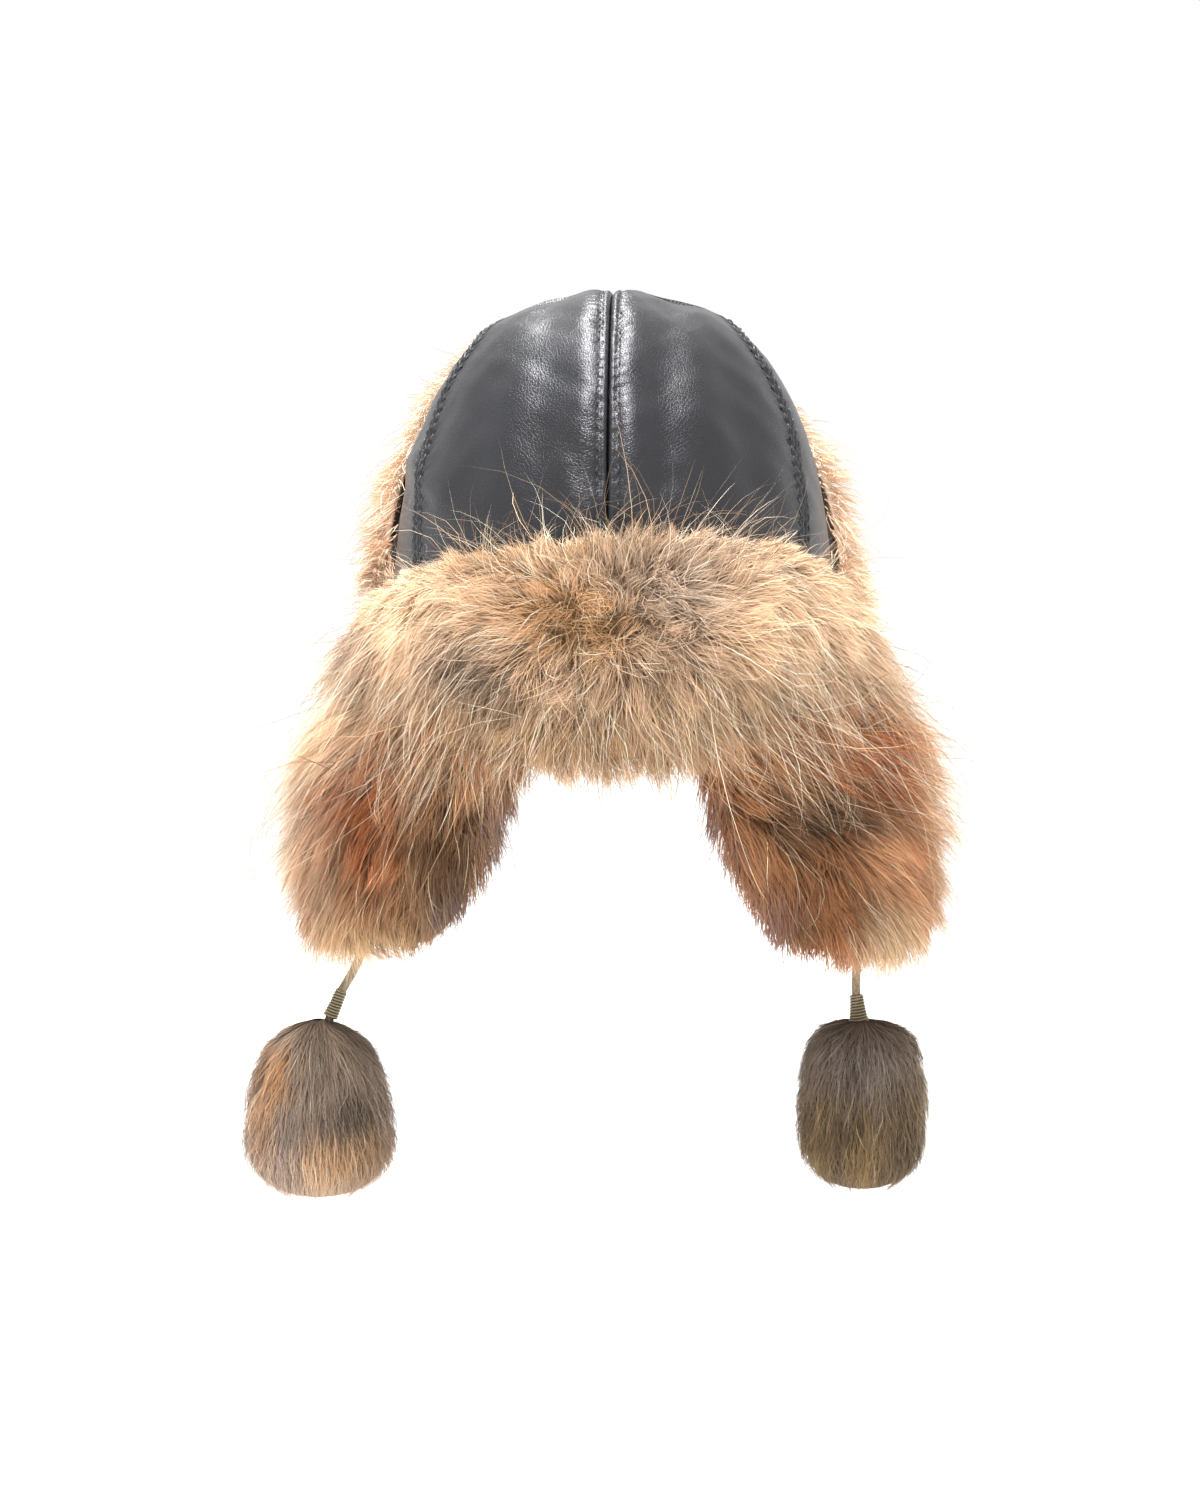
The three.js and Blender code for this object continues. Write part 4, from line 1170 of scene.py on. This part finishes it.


# Back fur. The turned-up back flap carries paler fur, cream along its edges and light brown in its
# middle. The cream at its side edges is partly painted glow of the light from behind, and a darker
# patch low on its left side is painted shade beside the crown. Its hair lies out to both sides and
# down over the neck.
NAPE_HALF_TURN = 85
NAPE_TURNS = [0, 0.5, 0.75, 0.9, 1]
NAPE_LEFTS = [1, 0.97, 0.86, 0.6, 0.36]
NAPE_RIGHTS = [1, 0.94, 0.7, 0.5, 0.3]
NAPE_MARGINS = {"over": 0.007, "below": 0.024, "beside": 4}
NAPE_DEPTH = 0.019
NAPE_FUR = {
    "colour": "fbdcc2",
    "patches": [
        # Cream at both side edges, partly painted glow of the light from behind
        ("ffe6cc", (-0.118, 0.1), (0.016, 0.06), 0.9),
        ("ffe6cc", (0.118, 0.1), (0.016, 0.06), 0.9),
        ("f4c9a6", (-0.105, 0.06), (0.01, 0.04), 0.7),
        ("f4c9a6", (0.105, 0.06), (0.01, 0.04), 0.7),
        # Darker brown low on the left side, painted shade where the back fur lies beside the crown
        ("80604a", (-0.106, 0.034), (0.01, 0.018), 0.8),
        ("c79b76", (0.0, 0.07), (0.082, 0.08), 0.9),
        ("9a7250", (0.0, 0.07), (0.03, 0.06), 0.75),
        ("e8c294", (0.0, 0.15), (0.06, 0.02), 0.7),
        ("b98458", (0.06, 0.03), (0.03, 0.03), 0.5),
        ("b98458", (-0.06, 0.03), (0.03, 0.03), 0.5),
    ],
    "tips": [
        # Near-white tips at both side edges, painted glow of the light from behind
        ("ffeed0", (-0.125, 0.07), (0.014, 0.08), 0.95),
        ("ffeed0", (0.122, 0.07), (0.014, 0.08), 0.95),
    ],
    "pale": "fbf0cf",
    "brown": "a47d58",
    "counts": (20500, 3300),
    "length": 0.023,
    "mesh": (44, 30),
    "rim": 0.18,
    "under": 2.6,
    "lowest": 0.0,
    "lift": 0.1,
    "longest": 1.7,
    "wool": {"root": 0.88},
}


def nape_place(across, up, margin):
    """The turn and height of a place on the back flap, from its shares across it and up it."""
    inside, beside = past_edges(across, margin["beside"], margin["beside"])
    level, over = past_edges(up, margin["below"], margin["over"])
    share = np.abs(2 * inside - 1)
    tops = [smooth_through(NAPE_TURNS, column, share) for column in (NAPE_RIGHTS, NAPE_LEFTS)]
    top = NAPE_HEIGHT * np.where(inside < 0.5, *tops)
    turn = 180 + NAPE_HALF_TURN * (2 * inside - 1) + beside
    return turn, SEAM_GAP + (top - SEAM_GAP) * level + over


def nape_flow(roots):
    """The hair lies away from the middle of the back, and down."""
    turn = np.mod(turn_of(roots), 360)
    over = (turn - 180) / 55 + 0.3 * soft_waves(roots, 0.05, 14)
    lift = -0.75 + 0.35 * soft_waves(roots, 0.045, 15)
    return sideways_at(roots) * over[:, None] + np.array([0, 0, 1.0]) * lift[:, None]


def nape_fullness(roots):
    """The hair is shorter high up, less so on the left, and a little shorter at the foot."""
    high = eased(roots[:, 2], 0.085, 0.14) * (1 - 0.4 * eased(-roots[:, 0], 0.04, 0.09))
    return (1 - 0.6 * high) * (1 - 0.2 * eased(-roots[:, 2], 0.0, 0.02))


NAPE_FUR["flow"], NAPE_FUR["fullness"] = nape_flow, nape_fullness
nape_surface = pelt_surface(
    nape_place, lambda height: turned_up(height, NAPE_HEIGHT),
    NAPE_MARGINS, lambda up: NAPE_DEPTH * FLAP_PELT_SHARE,
)
lay_fur("nape", "nape_fur", nape_surface, NAPE_FUR, 301)


# Bindings. Waxed thread is wound round the foot of each tie, where it goes into the pompom, and
# widens there into a small cone.
BINDING_LENGTH = 0.013
BINDING_START = 0.395
BINDING_RADII = {"left": (0.00265, 0.0033), "right": (0.003, 0.0045)}
BINDING_TURNS = 10
BINDING_SIDES = 28
THREAD_SWELL = 0.0003
THREAD_TO_CORD_GAP = 0.0002

waxed = Finish("waxed_thread", Roughness=0.45)
waxed.finish(colour=waxed.tint(), relief=waxed.noise(2600.0, 2.0), depth=0.0002)

for side, (neck, foot) in BINDING_RADII.items():
    centre = along_route(TIE_ROUTES[side], 400)
    run = np.concatenate([[0], np.cumsum(np.linalg.norm(np.diff(centre, axis=0), axis=1))])
    share = np.linspace(0, 1, BINDING_TURNS * 8 + 1)
    spine = np.stack([np.interp(BINDING_START * run[-1] + BINDING_LENGTH * share, run, centre[:, k])
                      for k in range(3)], axis=-1)
    along = unit(np.gradient(spine, axis=0))
    right = unit(np.cross(along, (0, 1, 0)))
    ahead = np.cross(right, along)
    angle = np.linspace(0, 2 * np.pi, BINDING_SIDES, endpoint=False)
    wound = np.cos(2 * np.pi * BINDING_TURNS * share[:, None] + angle[None])
    radius = neck + (foot - neck) * share[:, None] ** 1.6 + THREAD_SWELL * wound
    radius[[0, -1]] = CORD_DIAMETER / 2 + THREAD_TO_CORD_GAP
    rings = spine[:, None] + radius[..., None] * (
        right[:, None] * np.cos(angle)[None, :, None] + ahead[:, None] * np.sin(angle)[None, :, None])
    random = np.random.default_rng(351 + SIDES[side])
    # The turns are painted pale on their crests and dark between them, as painted highlight and painted
    # shade, with a little random tone
    lit_crests = 0.5 + 0.5 * wound + random.normal(0, 0.12, wound.shape)
    dark, pale = (np.array(shade(code)[:3]) for code in ("2f2a1e", "a39473"))
    tint = dark + (pale - dark) * np.clip(lit_crests, 0, 1)[..., None] ** 1.4
    here = np.arange(BINDING_SIDES)
    beside = (here + 1) % BINDING_SIDES
    ring = np.stack([here, beside, beside + BINDING_SIDES, here + BINDING_SIDES], axis=-1)
    firsts = np.arange(len(share) - 1)[:, None, None] * BINDING_SIDES
    faces = (ring[None] + firsts).reshape(-1, 4)
    binding = faced_piece(f"binding_thread_{side}", rings.reshape(1, -1, 3), faces, waxed.material)
    paint(binding.data, tint.reshape(-1, 3))
    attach(binding, "root")
    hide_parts(f"tie_binding_{side}")


# Pompoms. Strips of fur are gathered at the top round the end of each tie, so that the hair hangs
# round a soft core and closes below it. The left one is taupe over rusty tan, and the right darker.
POMPOMS = {
    "left": {
        "width": 0.069, "height": 0.082, "top": -0.1498, "slot": "pompom_fur_light", "colour": "998575",
        "falls": [0, 0.08, 0.19, 0.3, 0.41, 0.52, 0.63, 0.74, 0.85, 0.95, 1],
        "halves": [0.15, 0.56, 0.8, 0.89, 0.96, 1.0, 1.03, 1.0, 0.95, 0.7, 0.35],
        "patches": [
            ("7e6e5f", (-0.13, -0.17), (0.03, 0.022), 0.85),
            ("4d4238", (-0.114, -0.189), (0.015, 0.01), 0.95),
            ("ac855c", (-0.116, -0.206), (0.026, 0.009), 0.9),
            ("b59a80", (-0.13, -0.224), (0.034, 0.013), 0.85),
            ("c08c58", (-0.147, -0.172), (0.006, 0.014), 0.85),
            ("b98a60", (-0.156, -0.19), (0.006, 0.016), 0.7),
            ("8a7c76", (-0.143, -0.204), (0.006, 0.02), 0.7),
        ],
        "pale": "ead3b2", "brown": "5f5044",
    },
    "right": {
        "width": 0.059, "height": 0.078, "top": -0.1488, "slot": "pompom_fur_dark", "colour": "69563f",
        "falls": [0, 0.05, 0.12, 0.26, 0.39, 0.51, 0.62, 0.74, 0.855, 0.96, 1],
        "halves": [0.3, 0.72, 0.86, 0.95, 1.0, 1.0, 1.0, 0.98, 0.92, 0.62, 0.35],
        "patches": [
            ("8b7f78", (0.108, -0.163), (0.026, 0.016), 0.8),
            ("4a3f36", (0.106, -0.168), (0.0035, 0.02), 0.8),
            ("c4ad8c", (0.1425, -0.178), (0.004, 0.02), 0.85),
            ("51432f", (0.13, -0.2), (0.01, 0.01), 0.8),
            ("4f4230", (0.106, -0.196), (0.01, 0.016), 0.7),
            ("9a7d52", (0.112, -0.21), (0.006, 0.018), 0.7),
            ("94784e", (0.092, -0.206), (0.005, 0.02), 0.6),
        ],
        "pale": "b9a58a", "brown": "4b3f31",
    },
}


POMPOM_LAYERS = ((WOOL, 9800, 0.075), (GUARD, 1300, 0.12))
POMPOM_SWAY = 0.0011
POMPOM_PULL = 0.35
POMPOM_PICKED_STRENGTH = 0.6
POMPOM_CORE_REACH = 0.86
POMPOM_CORE_TOP = 0.04
POMPOM_CORE_FALL = 0.92
# The pompom's core is painted as a darker copy of its hair's colour, painted shade inside the pompom
POMPOM_CORE_SHADE = 0.45


def pompom_hairs(pompom, core, count, stations, loose, random):
    """Hairs that leave a narrow neck, swell out to the pompom's outline and turn in below."""
    turn = random.uniform(0, 2 * np.pi, count)
    tip = 0.05 + 0.97 * random.random(count) ** 0.85
    start = np.clip(tip - random.uniform(0.25, 0.5, count), 0.0, 0.8)
    places = []
    for fall, share in ((start, 0.42), ((start + tip) / 2, 1.06), (tip, 0.97)):
        free = share > 0.5
        bulge = 1 + loose * random.normal(size=count) * free
        radius = share * bulge * pompom["width"] / 2
        radius = radius * smooth_through(pompom["falls"], pompom["halves"], np.minimum(fall, 1))
        angle = turn + 0.12 * random.normal(size=count) * free
        depth = pompom["top"] - pompom["height"] * np.minimum(fall, 1.01)
        places.append(np.stack([
            core[0] + radius * np.sin(angle), core[1] - radius * np.cos(angle), depth,
        ], axis=-1)[:, None])
    share = np.linspace(0, 1, stations)[None, :, None]
    paths = (1 - share) ** 2 * places[0] + 2 * share * (1 - share) * places[1] + share ** 2 * places[2]
    sway = random.normal(0, POMPOM_SWAY, (count, 1, 3))
    sway = sway * np.sin(share * 2 * np.pi + random.random((count, 1, 1)) * 6)
    outward = unit((paths[:, stations // 2] - core) * (1, 1, 0.3))
    return paths + sway * share, outward


def pompom_core(name, pompom, core, random):
    """The soft ball inside a pompom, a little smaller than the hair's outline."""
    ball = bmesh.new()
    bmesh.ops.create_uvsphere(ball, u_segments=24, v_segments=16, radius=1)
    for vertex in ball.verts:
        x, y, z = vertex.co
        fall = (1 - z) / 2
        half = float(smooth_through(pompom["falls"], pompom["halves"], fall))
        reach = POMPOM_CORE_REACH * pompom["width"] / 2 * half
        around = Vector((x, y)).normalized() if abs(z) < 0.999 else Vector((0, 0))
        depth = pompom["height"] * (POMPOM_CORE_TOP + POMPOM_CORE_FALL * fall)
        vertex.co = (core[0] + reach * around.x, core[1] + reach * around.y, pompom["top"] - depth)
    return painted_pelt(name, ball, pompom, POMPOM_CORE_SHADE, random)


for side, pompom in POMPOMS.items():
    core = np.array([*TIE_ROUTES[side][-1][:2], pompom["top"] - 0.5 * pompom["height"]])
    random = np.random.default_rng(401 + SIDES[side])
    pieces = []
    for kind, count, loose in POMPOM_LAYERS:
        paths, outward = pompom_hairs(pompom, core, count, kind["stations"], loose, random)
        paths, nearest = clumped(paths, count // kind["clump"], POMPOM_PULL, random)
        low = touched(evenly(pompom["colour"], count), pompom["patches"], paths[:, -2], random, 0.004)
        low = low * np.exp(random.normal(0, 0.2, (count, 1)))[nearest]
        low = picked_out(low, pompom["pale"], kind["pale"] * 0.6, POMPOM_PICKED_STRENGTH, random)
        low = picked_out(low, pompom["brown"], kind["brown"], POMPOM_PICKED_STRENGTH, random)
        tints = banded(low, low * 1.1, kind, random)
        width = kind["width"] * random.uniform(0.8, 1.4, count)
        name = f"pompom_{side}_{kind['part']}"
        pieces.append(hair_piece(name, paths, outward, width, tints, random))
    pieces.append(pompom_core(f"pompom_{side}_core", pompom, core, random))
    for piece in pieces:
        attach(piece, "root")
        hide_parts(f"pompom_{side}")


# Studio. A white floor below the hat runs out to white surroundings. A long soft light overhead gives
# the leather its sheen, two from behind light the fur's edges, and a weak one in front fills in.
FLOOR_HEIGHT = -0.42
FLOOR_REACH = 9

paper = Finish(
    "floor_paper", Roughness=0.9, Base_Color=(0.9, 0.9, 0.9, 1),
    Emission_Color=(1, 1, 1, 1), Emission_Strength=0.35,
)
disc = bmesh.new()
bmesh.ops.create_circle(disc, cap_ends=True, segments=64, radius=FLOOR_REACH)
bmesh.ops.translate(disc, vec=(0, 0, FLOOR_HEIGHT), verts=disc.verts)
floor = in_scene("floor", mesh_from("floor", disc, paper.material))

world = bpy.data.worlds.new("studio")
bpy.context.scene.world = world
world.use_nodes = True
surroundings = world.node_tree.nodes["Background"].inputs
surroundings["Color"].default_value = (1, 1, 1, 1)
surroundings["Strength"].default_value = 1.0

# Each light's name, place, target, size, watts, and whether it shows in the leather's shine
LIGHTS = [
    ("overhead", (-0.22, -0.1, 1.5), (0, -0.1, 0), (2.2, 0.3), 66, True),
    ("window", (0.2, -0.5, 1.5), (0, -0.1, 0), (0.8, 0.14), 4, True),
    ("back_left", (-1.02, 1.35, 0.4), (0, 0, 0), (0.8, 1.2), 12, False),
    ("back_right", (1.02, 1.35, 0.4), (0, 0, 0), (0.8, 1.2), 7, False),
    ("front", (-0.5, -1.5, 0.9), (0, 0, 0), (0.9, 0.9), 3, False),
]
for name, place, target, size, power, shining in LIGHTS:
    light = bpy.data.lights.new(name, "AREA")
    light.shape = "RECTANGLE"
    light.size, light.size_y = size
    light.energy = power
    lamp = in_scene(name, light)
    lamp.location = place
    lamp.rotation_euler = (Vector(place) - Vector(target)).to_track_quat("Z", "Y").to_euler()
    lamp.visible_glossy = shining
bpy.context.scene.view_settings.view_transform = "Standard"
